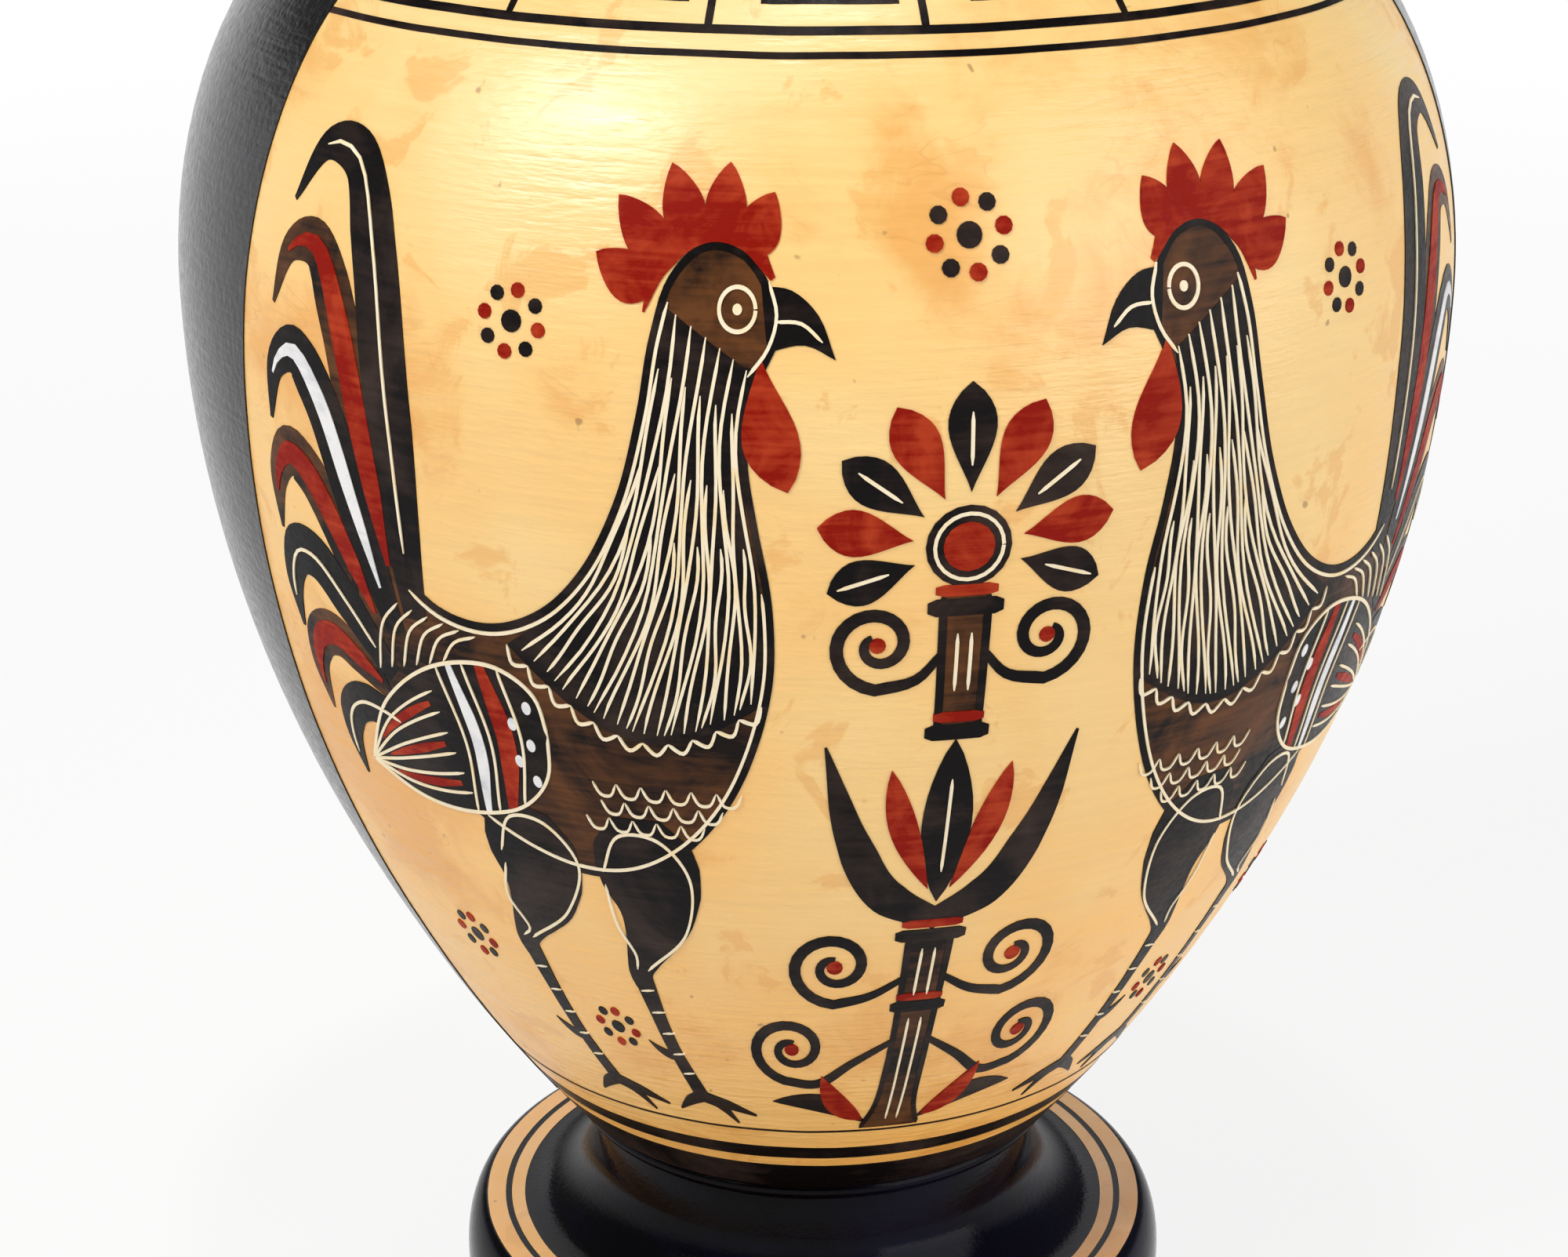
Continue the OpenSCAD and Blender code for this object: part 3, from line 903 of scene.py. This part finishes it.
def new_finish(name):
    material = bpy.data.materials.new(name)
    material.use_nodes = True
    tree = material.node_tree
    tree.nodes.clear()
    shader = add(tree, "ShaderNodeBsdfPrincipled")
    add(tree, "ShaderNodeOutputMaterial", {"Surface": shader})
    return material, tree, shader, add(tree, "ShaderNodeTexCoord").outputs["Object"]


def level_marks(tree, where):
    """Level marks of the brush and the wheel, long ones and short ones, whose real spacing of about 0.6 mm is
    drawn as about 1 mm so that they show. The value runs from 0.7 to 1.3"""
    node = partial(add, tree)
    long_way = node("ShaderNodeMapping", {"Vector": where, "Scale": (per(62.5), per(62.5), per(1.053))})
    short_way = node("ShaderNodeMapping", {"Vector": where, "Scale": (per(7.69), per(7.69), per(0.909)),
                                           "Rotation": (0.0, 0.05, 0.0)})
    long_marks = node("ShaderNodeTexNoise", {"Vector": long_way, NOISE: (1.0, 2.0)})
    short_marks = node("ShaderNodeTexNoise", {"Vector": short_way, NOISE: (1.0, 3.0)})
    return node("ShaderNodeMath", {0: long_marks, 1: short_marks}, operation="ADD")


def varnished_clay(c):
    """Buff earthenware turned on a wheel, washed with tea-coloured stain and varnished. It gives the eye a
    warm satin skin, golden at the base, with soft ochre clouds 10 to 50 mm wide, small blots, faint drying
    lines and a few iron specks up to 3 mm wide. The colour grows paler towards the shoulder, a painted
    highlight. In the varnish lie level marks and slanting brush strokes 0.7 mm apart"""
    material, tree, shader, where = new_finish("Varnished buff earthenware")
    node = partial(add, tree)
    wide = node("ShaderNodeTexNoise", {"Vector": where, NOISE: (per(50), 2.5, 0.5, 0.5)})
    small = node("ShaderNodeTexNoise", {"Vector": where, NOISE: (per(12.5), 5.0, 0.6, 0.6)})
    grains = node("ShaderNodeTexNoise", {"Vector": where, NOISE: (per(3.03), 1.0)})
    cloud = node("ShaderNodeMath", {0: small, 1: 0.45, 2: wide}, operation="MULTIPLY_ADD")
    height = node("ShaderNodeSeparateXYZ", {0: where}).outputs["Z"]
    # a drying line runs where a noise passes its middle
    pool = node("ShaderNodeMapping", {"Vector": where, "Scale": (per(29.4), per(29.4), per(17.86))})
    level = node("ShaderNodeTexNoise", {"Vector": pool, NOISE: (1.0, 3.0, 0.55, 1.2)})
    off = node("ShaderNodeMath", {0: level, 1: 0.5}, operation="SUBTRACT")
    away = node("ShaderNodeMath", {0: off}, operation="ABSOLUTE")
    marks = level_marks(tree, where)
    # what each mask reads, the range it turns into another, and how it eases
    masks = {
        "thin": (wide, (0.52, 0.3, 0.0, 0.4), "SMOOTHSTEP"),
        # high is a painted highlight: the ground grows paler with height, as if lit from above
        "high": (height, (0.1, 0.24, 0.0, 0.55), "LINEAR"),
        "base": (height, (0.067, 0.057, 0.0, 0.6), "LINEAR"),
        "cloud": (cloud, (0.72, 0.91, 0.0, 0.7), "SMOOTHSTEP"),
        "blot": (small, (0.57, 0.63, 0.0, 0.42), "SMOOTHSTEP"),
        "line": (away, (0.009, 0.0, 0.0, 0.2), "LINEAR"),
        "stained": (wide, (0.5, 0.6, 0.0, 1.0), "LINEAR"),
        "speck": (grains, (0.775, 0.81, 0.0, 0.6), "LINEAR"),
        "tint": (marks, (0.7, 1.3, 0.975, 1.02), "LINEAR"),
        "rough": (marks, (0.7, 1.3, 0.3, 0.46), "LINEAR")}
    mask = {name: node("ShaderNodeMapRange", {"Value": value, RANGE: limits}, interpolation_type=ease)
            for name, (value, limits, ease) in masks.items()}
    # pale clay where the varnish lies thin, plus the painted highlight towards the shoulder
    pale = node("ShaderNodeMath", {0: mask["thin"], 1: mask["high"]}, operation="ADD", use_clamp=True)
    stain = node("ShaderNodeMath", {0: mask["cloud"], 1: mask["blot"]}, operation="MAXIMUM")
    drying = node("ShaderNodeMath", {0: mask["line"], 1: mask["stained"]}, operation="MULTIPLY")
    ground = c.clay
    for factor, layer in ((pale, c.clay_pale_and_highlight), (mask["base"], c.clay_base), (stain, c.stain),
                          (drying, c.drying), (mask["speck"], c.speck)):
        ground = node("ShaderNodeMix", {"Factor": factor, 6: ground, 7: layer}, data_type="RGBA").outputs[2]
    shade = node("ShaderNodeVectorMath", {0: ground, "Scale": mask["tint"]}, operation="SCALE")
    slant = node("ShaderNodeMapping", {"Vector": where, "Scale": (per(3.03), per(3.03), per(0.667)),
                                       "Rotation": (0.0, -0.16, 0.0)})
    strokes = node("ShaderNodeTexNoise", {"Vector": slant, NOISE: (1.0, 2.0)})
    relief = node("ShaderNodeMath", {0: strokes, 1: 1.2, 2: marks}, operation="MULTIPLY_ADD")
    bump = node("ShaderNodeBump", {"Height": relief, "Strength": 0.9, "Distance": 0.1 * MM})
    for name, value in {"Base Color": shade, "Roughness": mask["rough"], "Normal": bump}.items():
        tree.links.new(value.outputs[0], shader.inputs[name])
    shader.inputs["IOR"].default_value = 1.5
    shader.inputs["Specular IOR Level"].default_value = 0.8
    return material


def slip(name, base, other, low, high, cloud, grain, rough, gloss, marks=0.0, bump_by=0.3, ior=1.5):
    """Clay slip laid by brush: two tones that mix in level brush marks and in clouds, between the values low
    and high of their noise. A real slip's grain is too fine to show, so it is drawn about 1 mm wide. cloud
    and grain are in mm"""
    material, tree, shader, where = new_finish(name)
    node = partial(add, tree)
    clouds = node("ShaderNodeTexNoise", {"Vector": where, NOISE: (per(cloud), 5.0, 0.62, 0.6)})
    level = level_marks(tree, where)
    both = node("ShaderNodeMath", {0: level, 1: marks, 2: clouds}, operation="MULTIPLY_ADD")
    mixed = node("ShaderNodeMapRange", {"Value": both, RANGE: (low + marks, high + marks)})
    tone = node("ShaderNodeMix", {"Factor": mixed, 6: base, 7: other}, data_type="RGBA")
    fine = node("ShaderNodeTexNoise", {"Vector": where, NOISE: (per(grain), 2.0)})
    spread = node("ShaderNodeMapRange", {"Value": fine, RANGE: (0.3, 0.7, rough - 0.07, rough + 0.07)})
    relief = node("ShaderNodeMath", {0: level, 1: min(1.0, 3 * marks), 2: fine}, operation="MULTIPLY_ADD")
    bump = node("ShaderNodeBump", {"Height": relief, "Strength": bump_by, "Distance": 0.1 * MM})
    for name, value in {"Base Color": tone.outputs[2], "Roughness": spread.outputs[0],
                        "Normal": bump.outputs[0]}.items():
        tree.links.new(value, shader.inputs[name])
    shader.inputs["IOR"].default_value = ior
    shader.inputs["Specular IOR Level"].default_value = gloss
    return material


FINISHES = {}


def finishes():
    """All the finishes of the pot, made once"""
    if FINISHES:
        return FINISHES
    c = bpy.context.scene.amphora_colours
    FINISHES["clay"] = varnished_clay(c)
    # black gloss slip, brushed while the pot turns, then fired: deep black, smooth, with a cool cast in clouds
    FINISHES["glaze"] = slip("Black gloss slip", c.black, c.black_cool, low=0.42, high=0.75, cloud=38.5,
                             grain=0.714, rough=0.15, gloss=0.15, marks=0.12, ior=1.33)
    # the same slip on the body's sides, less burnished: satin, with ridges of the brush 1 mm apart
    FINISHES["side"] = slip("Satin black slip", c.black, c.black_worn, low=0.4, high=0.75, cloud=25,
                            grain=1.25, rough=0.2, gloss=0.4, marks=0.3, bump_by=0.9)
    # dense black slip of the figures, brushed twice: near black, a little brown in clouds 20 mm wide
    FINISHES["black"] = slip("Dense black slip", c.dense, c.dense_brown, low=0.45, high=0.74, cloud=20,
                             grain=0.909, rough=0.36, gloss=0.09, marks=0.15)
    # the same slip thinned with water and brushed once: brown where it ran thin, dark clouds up to 17 mm wide,
    # and level streaks where the bristles ran
    FINISHES["wash"] = slip("Thinned black slip", c.wash_dark, c.wash, low=0.39, high=0.64, cloud=17.24,
                            grain=1.111, rough=0.38, gloss=0.1, marks=0.22)
    # iron red slip over the black: matt, uneven where it lies thin
    FINISHES["red"] = slip("Iron red slip", c.red, c.red_thin, low=0.42, high=0.66, cloud=8.33,
                           grain=1.111, rough=0.5, gloss=0.08, marks=0.35)
    # white pipe clay slip in thick touches, thinner and greyer along the brush marks
    FINISHES["white"] = slip("White pipe clay slip", c.white, c.white_thin, low=0.45, high=0.8, cloud=6.25,
                             grain=1.111, rough=0.5, gloss=0.3, marks=0.25)
    # line scratched by a needle down to the pale clay
    FINISHES["line"] = slip("Needle scratched clay", c.scratch, c.clay_pale_and_highlight, low=0.5, high=0.85, cloud=5,
                            grain=0.833, rough=0.6, gloss=0.2)
    return FINISHES


# ---- the stage ----

def clear_rays(tree, ray):
    """1 for what the camera sees straight, in a mirror or through glass"""
    mirrored = add(tree, "ShaderNodeMath", {0: ray["Is Glossy Ray"], 1: ray["Is Transmission Ray"]},
                   operation="MAXIMUM")
    return add(tree, "ShaderNodeMath", {0: ray["Is Camera Ray"], 1: mirrored}, operation="MAXIMUM")


def floor(z, tint):
    """Plain painted board: its own light colour, and to the camera most of the way to white, so that the
    shadow stays, and all the way to white far off, where it meets the wall"""
    mesh = bpy.data.meshes.new("floor")
    corners = ((-1, -1), (1, -1), (1, 1), (-1, 1))
    mesh.from_pydata([(x * FLOOR_REACH, y * FLOOR_REACH, z) for x, y in corners], [], [(0, 1, 2, 3)])
    linked("floor", mesh)
    material, tree, shader, where = new_finish("Pale painted board")
    shader.inputs["Base Color"].default_value = tint
    shader.inputs["Roughness"].default_value = 0.9
    shader.inputs["Specular IOR Level"].default_value = 0.1
    ray = add(tree, "ShaderNodeLightPath").outputs
    far = add(tree, "ShaderNodeVectorMath", {0: where}, operation="LENGTH").outputs["Value"]
    white = add(tree, "ShaderNodeMapRange", {"Value": far, RANGE: (0.3, 1.3, 0.82, 1.0)},
                interpolation_type="SMOOTHSTEP")
    seen = add(tree, "ShaderNodeMath", {0: clear_rays(tree, ray), 1: white}, operation="MULTIPLY")
    glow = add(tree, "ShaderNodeEmission", {"Color": (1, 1, 1, 1), "Strength": 1.0})
    board = add(tree, "ShaderNodeMixShader", {"Fac": seen, 1: shader, 2: glow})
    tree.links.new(board.outputs[0], tree.nodes["Material Output"].inputs["Surface"])
    mesh.materials.append(material)


def room():
    """Pale walls beside and behind, a dim ceiling and a dim viewer's side; white wherever the camera sees it,
    and low on the walls in mirrored rays"""
    world = bpy.data.worlds.new("Room")
    world.use_nodes = True
    world.node_tree.nodes.clear()
    node = partial(add, world.node_tree)
    axes = node("ShaderNodeSeparateXYZ", {"Vector": node("ShaderNodeTexCoord").outputs["Generated"]}).outputs
    back_wall = node("ShaderNodeMapRange", {"Value": axes["Y"], RANGE: (-0.7, 0.3, 0.04, 0.85)},
                     interpolation_type="SMOOTHSTEP")
    low = node("ShaderNodeMapRange", {"Value": axes["Z"], RANGE: (0.0, 0.36, 1.0, 0.0)},
               interpolation_type="SMOOTHSTEP")
    dim = node("ShaderNodeMath", {0: low, 1: 0.8, 2: 0.2}, operation="MULTIPLY_ADD")
    light = node("ShaderNodeMath", {0: back_wall, 1: dim}, operation="MULTIPLY")
    ray = node("ShaderNodeLightPath").outputs
    mirrored = node("ShaderNodeMath", {0: clear_rays(world.node_tree, ray), 1: low}, operation="MULTIPLY")
    seen = node("ShaderNodeMath", {0: ray["Is Camera Ray"], 1: mirrored}, operation="MAXIMUM")
    bright = node("ShaderNodeMix", {"Factor": seen, 2: light, 3: 1.0}, data_type="FLOAT")
    node("ShaderNodeOutputWorld", {
        "Surface": node("ShaderNodeBackground", {"Color": (1, 1, 1, 1), "Strength": bright})})
    return world


LAMPS = {  # name: place in metres, side of its square, watts
    "key_light": ((-0.86, -0.52, 1.02), 0.5, 12.0),
    "fill_light": ((0.95, -0.95, 0.52), 1.3, 13.0),
    "ceiling_light": ((-0.02, -0.2, 1.5), 0.12, 4.5),
    "back_light": ((0.2, 1.3, 1.1), 1.2, 7.0)}
# place in metres from the floor, lens in mm, and where it looks, in degrees
CAMERA = {"place": (-0.1061, -0.4992, 0.319), "lens": 75.4, "right": 11.43, "down": 20.67}
FLOOR_REACH = 6  # metres that the floor runs each way


# ---- operators ----

class Making:
    # what every operator here shares: it can be redone and undone
    bl_options = {"REGISTER", "UNDO"}


class AMPHORA_OT_stage(Making, bpy.types.Operator):
    """Floor, light, camera and view"""
    bl_idname = "amphora.stage"
    bl_label = "Stage"

    def execute(self, context):
        scene = context.scene
        for obj in list(scene.objects):
            if obj.type in {"LIGHT", "CAMERA"} or (obj.type == "MESH" and obj.name not in frame["nodes"]):
                bpy.data.objects.remove(obj)
        scene.view_settings.view_transform = "Standard"
        lo, hi = CAD_BOX
        floor(lo.z, scene.amphora_colours.floor)
        scene.world = room()
        for name, (place, side, watts) in LAMPS.items():
            data = bpy.data.lights.new(name, "AREA")
            data.shape, data.size, data.energy = "SQUARE", side, watts
            lamp = linked(name, data)
            lamp.location = place
            lamp.rotation_euler = ((lo + hi) / 2 - Vector(place)).to_track_quat("-Z", "Y").to_euler()
            lamp.visible_camera = False
        data = bpy.data.cameras.new("camera")
        data.lens, data.sensor_width, data.clip_start = CAMERA["lens"], 36.0, 0.01
        camera = linked("camera", data)
        camera.location = Vector(CAMERA["place"]) + Vector((0, 0, lo.z))
        right, down = math.radians(CAMERA["right"]), math.radians(CAMERA["down"])
        look = Vector((math.sin(right) * math.cos(down), math.cos(right) * math.cos(down), -math.sin(down)))
        camera.rotation_euler = look.to_track_quat("-Z", "Y").to_euler()
        scene.camera = camera
        return {"FINISHED"}


class AMPHORA_OT_turned(Making, bpy.types.Operator):
    """Body, foot, fillets, neck and mouth, turned from their sections"""
    bl_idname = "amphora.turned"
    bl_label = "Turned Pieces"

    def execute(self, context):
        wall = walls()
        turn("body_turned", wall["body"].section, "clay", "body", segments=216)
        turn("foot_turned", wall["foot"].section, "glaze", "foot")
        for node, finish in (("foot_fillet", "glaze"), ("neck_collar", "red")):
            turn(node + "_turned", refine(profile(node), step=0.6, corner=60), finish, node)
        turn("neck_turned", wall["neck"].section, "clay", "neck")
        turn("mouth_turned", refine(profile("mouth")), "glaze", "mouth")
        return {"FINISHED"}


class AMPHORA_OT_handles(Making, bpy.types.Operator):
    """Two bowed handles from the neck to the shoulder"""
    bl_idname = "amphora.handles"
    bl_label = "Handles"
    SEATED = 1  # mm that both ends reach into the pot's outside
    NECK_END, SHOULDER_END = 270, 262  # mm, heights over and under which a handle's two ends lie

    def execute(self, context):
        sizes, neck, body = context.scene.amphora_sizes, walls()["neck"].outer, walls()["body"].outer
        # the bow's ends and its handles, in mm: out of the neck's wall, over, and down into the shoulder
        r, h = neck[-1] - (5, 14)
        bow = {"Neck Root": (r, h), "Rise": (r + 19, h + 16), "Fall": (r + 55, h + 14),
               "Shoulder Root": (r + 33.7, body[-1][1] - 20)}
        for side, node in ((-1, "handle_left"), (1, "handle_right")):
            source = linked(node + "_source", bpy.data.meshes.new(node))
            places = {name: (side * x * MM, 0, z * MM) for name, (x, z) in bow.items()}
            use_tree(source, tree_of(handle_tree, "Bowed Handle"), {
                **places, "Width": sizes.handle_width, "Depth": sizes.handle_depth, "Swell": sizes.swell,
                "Finish": finishes()["glaze"]})
            self.seat(plain(node + "_bowed", source, "glaze", node).data, neck, body)
        return {"FINISHED"}

    def seat(self, mesh, neck, body):
        """Both ends stop just inside the neck's and the shoulder's outside"""
        p = np.array([v.co for v in mesh.vertices]) / MM
        r, h = np.hypot(p[:, 0], p[:, 1]), p[:, 2]
        wall = np.interp(h, neck[:, 1], neck[:, 0]) - self.SEATED
        into = (h > self.NECK_END) & (r < wall)
        p[into, 0] = np.sign(p[into, 0]) * np.sqrt(np.maximum(wall[into] ** 2 - p[into, 1] ** 2, 0))
        peak = int(np.argmax(body[:, 0]))
        top = np.interp(-r, -body[peak:, 0], body[peak:, 1]) - self.SEATED
        sunk = (h < self.SHOULDER_END) & (h < top)
        p[sunk, 2] = top[sunk]
        mesh.vertices.foreach_set("co", (p * MM).ravel())
        mesh.update()


class AMPHORA_OT_bands(Making, bpy.types.Operator):
    """Stripes of the body and the foot, the black sides, the key band and the tongues"""
    bl_idname = "amphora.bands"
    bl_label = "Bands"
    BASE_START = 0.02  # mm up the wall, where the black band at the base starts
    BASE_HEIGHTS = (52.7, 55.2, 58.3)  # mm, of that band's end and of the stripe over it
    # lengths up the wall in mm from the panel's head, of the stripes under the key and over it
    HEAD_STRIPES = ((-.5, .5), (3, 4.35), (23.55, 24.85), (26.55, 27.55))
    SIDE_FOOT = 52.9  # mm, the height at which a black side starts
    SIDE_HEAD = 28.45  # mm up the wall from the panel's head
    SIDE_WIDTHS = ((54, 112, 238, 252), (16.4, 19.2, 25.1, 26.5))  # heights in mm, half widths in degrees
    KEY_FOOT = 4.1  # mm up the wall from the panel's head
    KEY_STEP = 4.4  # mm, a quarter of the key's height
    KEY_ANGLE = math.radians(158)  # how far round from the front's middle the first key stands
    TONGUES = (63.4, 11)  # mm, the radius that they hang down to, and their length
    FOOT_RINGS = ((57.35, 54.2), (53.1, 50.8))  # mm, radii of the clay rings on the foot's level top

    def execute(self, context):
        sizes, body, foot = context.scene.amphora_sizes, walls()["body"], walls()["foot"]
        low = body.up_to(sizes.panel_low / MM)
        head = body.up_to(sizes.panel_top / MM) - low
        on_body = dict(wall=body, start=low)
        band_end, stripe_low, stripe_high = (body.up_to(h) - low for h in self.BASE_HEIGHTS)
        stripes = [(-.25, .25), (stripe_low, stripe_high), (self.BASE_START - low, band_end)]
        stripes += [(head + a, head + b) for a, b in self.HEAD_STRIPES]
        paint("body_stripes", strips(*stripes), "black", angle=SEAM, grid=0, tremble=0.35, **on_body)
        # the sides stand well over the stripes, which run on under them
        side = self.side(body, low, head + self.SIDE_HEAD)
        for name, angle in (("left", -math.pi / 2), ("right", math.pi / 2)):
            paint("black_side_" + name, [side], "side", coats=3, angle=angle, tremble=0.5, **on_body)
        pitch = WAY_ROUND / sizes.key_count
        key = key_cell(pitch, self.KEY_STEP, sizes.key_line / MM)
        paint("key_band", key.shapes["black"], "black", body, low + head + self.KEY_FOOT,
              angle=self.KEY_ANGLE, count=sizes.key_count, pitch=pitch, tremble=0.5, grid=0)
        pitch = WAY_ROUND / sizes.tongue_count
        radius, long = self.TONGUES
        hanging = tongues(pitch, long)
        for coat in ("black", "red"):
            paint("tongues_" + coat, hanging.shapes[coat], coat, body, body.up_to_radius(radius),
                  count=sizes.tongue_count, pitch=pitch, tremble=0.3)
        rings = [tuple(foot.up_to_radius(r) for r in pair) for pair in self.FOOT_RINGS]
        paint("foot_clay_rings", strips(*rings), "clay", foot, 0, angle=SEAM, grid=0)
        return {"FINISHED"}

    def side(self, body, low, top):
        """Outline of a black side, which widens towards the shoulder and runs up under the handle"""
        v = np.linspace(body.up_to(self.SIDE_FOOT) - low, top, 70)
        height = np.interp(v + low, body.run, body.outer[:, 1])
        half = np.radians(np.interp(height, *self.SIDE_WIDTHS)) * BELLY
        across = np.linspace(-1, 1, 26)[1:-1]
        level = np.ones(len(across))
        return np.vstack([np.column_stack([half[0] * across, v[0] * level]), np.column_stack([half, v]),
                          np.column_stack([half[-1] * across, v[-1] * level])[::-1],
                          np.column_stack([-half, v])[::-1]])


class AMPHORA_OT_panels(Making, bpy.types.Operator):
    """The front and back pictures, coat by coat"""
    bl_idname = "amphora.panels"
    bl_label = "Panels"

    def execute(self, context):
        body = walls()["body"]
        start = body.up_to(context.scene.amphora_sizes.panel_low / MM)
        for name, art, angle in (("front", front(), 0.0), ("back", back(), math.pi)):
            for coats, coat in enumerate(Art.COATS):
                if art.shapes[coat]:
                    paint(f"{name}_{coat}", art.shapes[coat], coat, body, start, coats=coats, angle=angle,
                          grid=0 if coat == "line" else 4.0)
        return {"FINISHED"}


class AMPHORA_OT_neck(Making, bpy.types.Operator):
    """Chain of palmettes and lotus flowers round the neck, between two stripes"""
    bl_idname = "amphora.neck"
    bl_label = "Neck Chain"
    RADIUS, HEIGHT, START = 42.0, 38, 5.0  # mm, what the chain is drawn for, and its place up the neck
    STRIPES = ((2.2, 3.2), (44.2, 45.6))

    def execute(self, context):
        neck, count = walls()["neck"], context.scene.amphora_sizes.chain_count
        pitch = 2 * math.pi * self.RADIUS / count
        art = chain(pitch, self.HEIGHT)
        for coats, coat in enumerate(("black", "red", "line")):
            paint("neck_" + coat, art.shapes[coat], coat, neck, self.START, coats=coats, radius=self.RADIUS,
                  count=count, pitch=pitch, angle=-pitch / 4 / self.RADIUS, grid=0 if coat == "line" else 4.0)
        paint("neck_stripes", strips(*self.STRIPES, radius=self.RADIUS), "black", neck, 0, radius=self.RADIUS,
              angle=SEAM, grid=0)
        return {"FINISHED"}


class AMPHORA_PT_panel(bpy.types.Panel):
    bl_idname = "AMPHORA_PT_panel"
    bl_label = "Amphora"
    bl_space_type = "VIEW_3D"
    bl_region_type = "UI"
    bl_category = "Amphora"

    def draw(self, context):
        for operator in OPERATORS:
            self.layout.operator(operator.bl_idname)
        for group in (context.scene.amphora_colours, context.scene.amphora_sizes):
            column = self.layout.column()
            for name in group.__annotations__:
                column.prop(group, name)


OPERATORS = (AMPHORA_OT_stage, AMPHORA_OT_turned, AMPHORA_OT_handles, AMPHORA_OT_bands, AMPHORA_OT_panels,
             AMPHORA_OT_neck)
CLASSES = (AmphoraColours, AmphoraSizes, *OPERATORS, AMPHORA_PT_panel)


def register():
    for cls in CLASSES:
        bpy.utils.register_class(cls)
    bpy.types.Scene.amphora_colours = bpy.props.PointerProperty(type=AmphoraColours)
    bpy.types.Scene.amphora_sizes = bpy.props.PointerProperty(type=AmphoraSizes)


def unregister():
    del bpy.types.Scene.amphora_sizes
    del bpy.types.Scene.amphora_colours
    for cls in reversed(CLASSES):
        bpy.utils.unregister_class(cls)


def main():
    register()
    bpy.ops.amphora.stage()
    bpy.ops.amphora.turned()
    bpy.ops.amphora.handles()
    bpy.ops.amphora.bands()
    bpy.ops.amphora.panels()
    bpy.ops.amphora.neck()
    clear_walls()


if __name__ == "__main__":
    main()
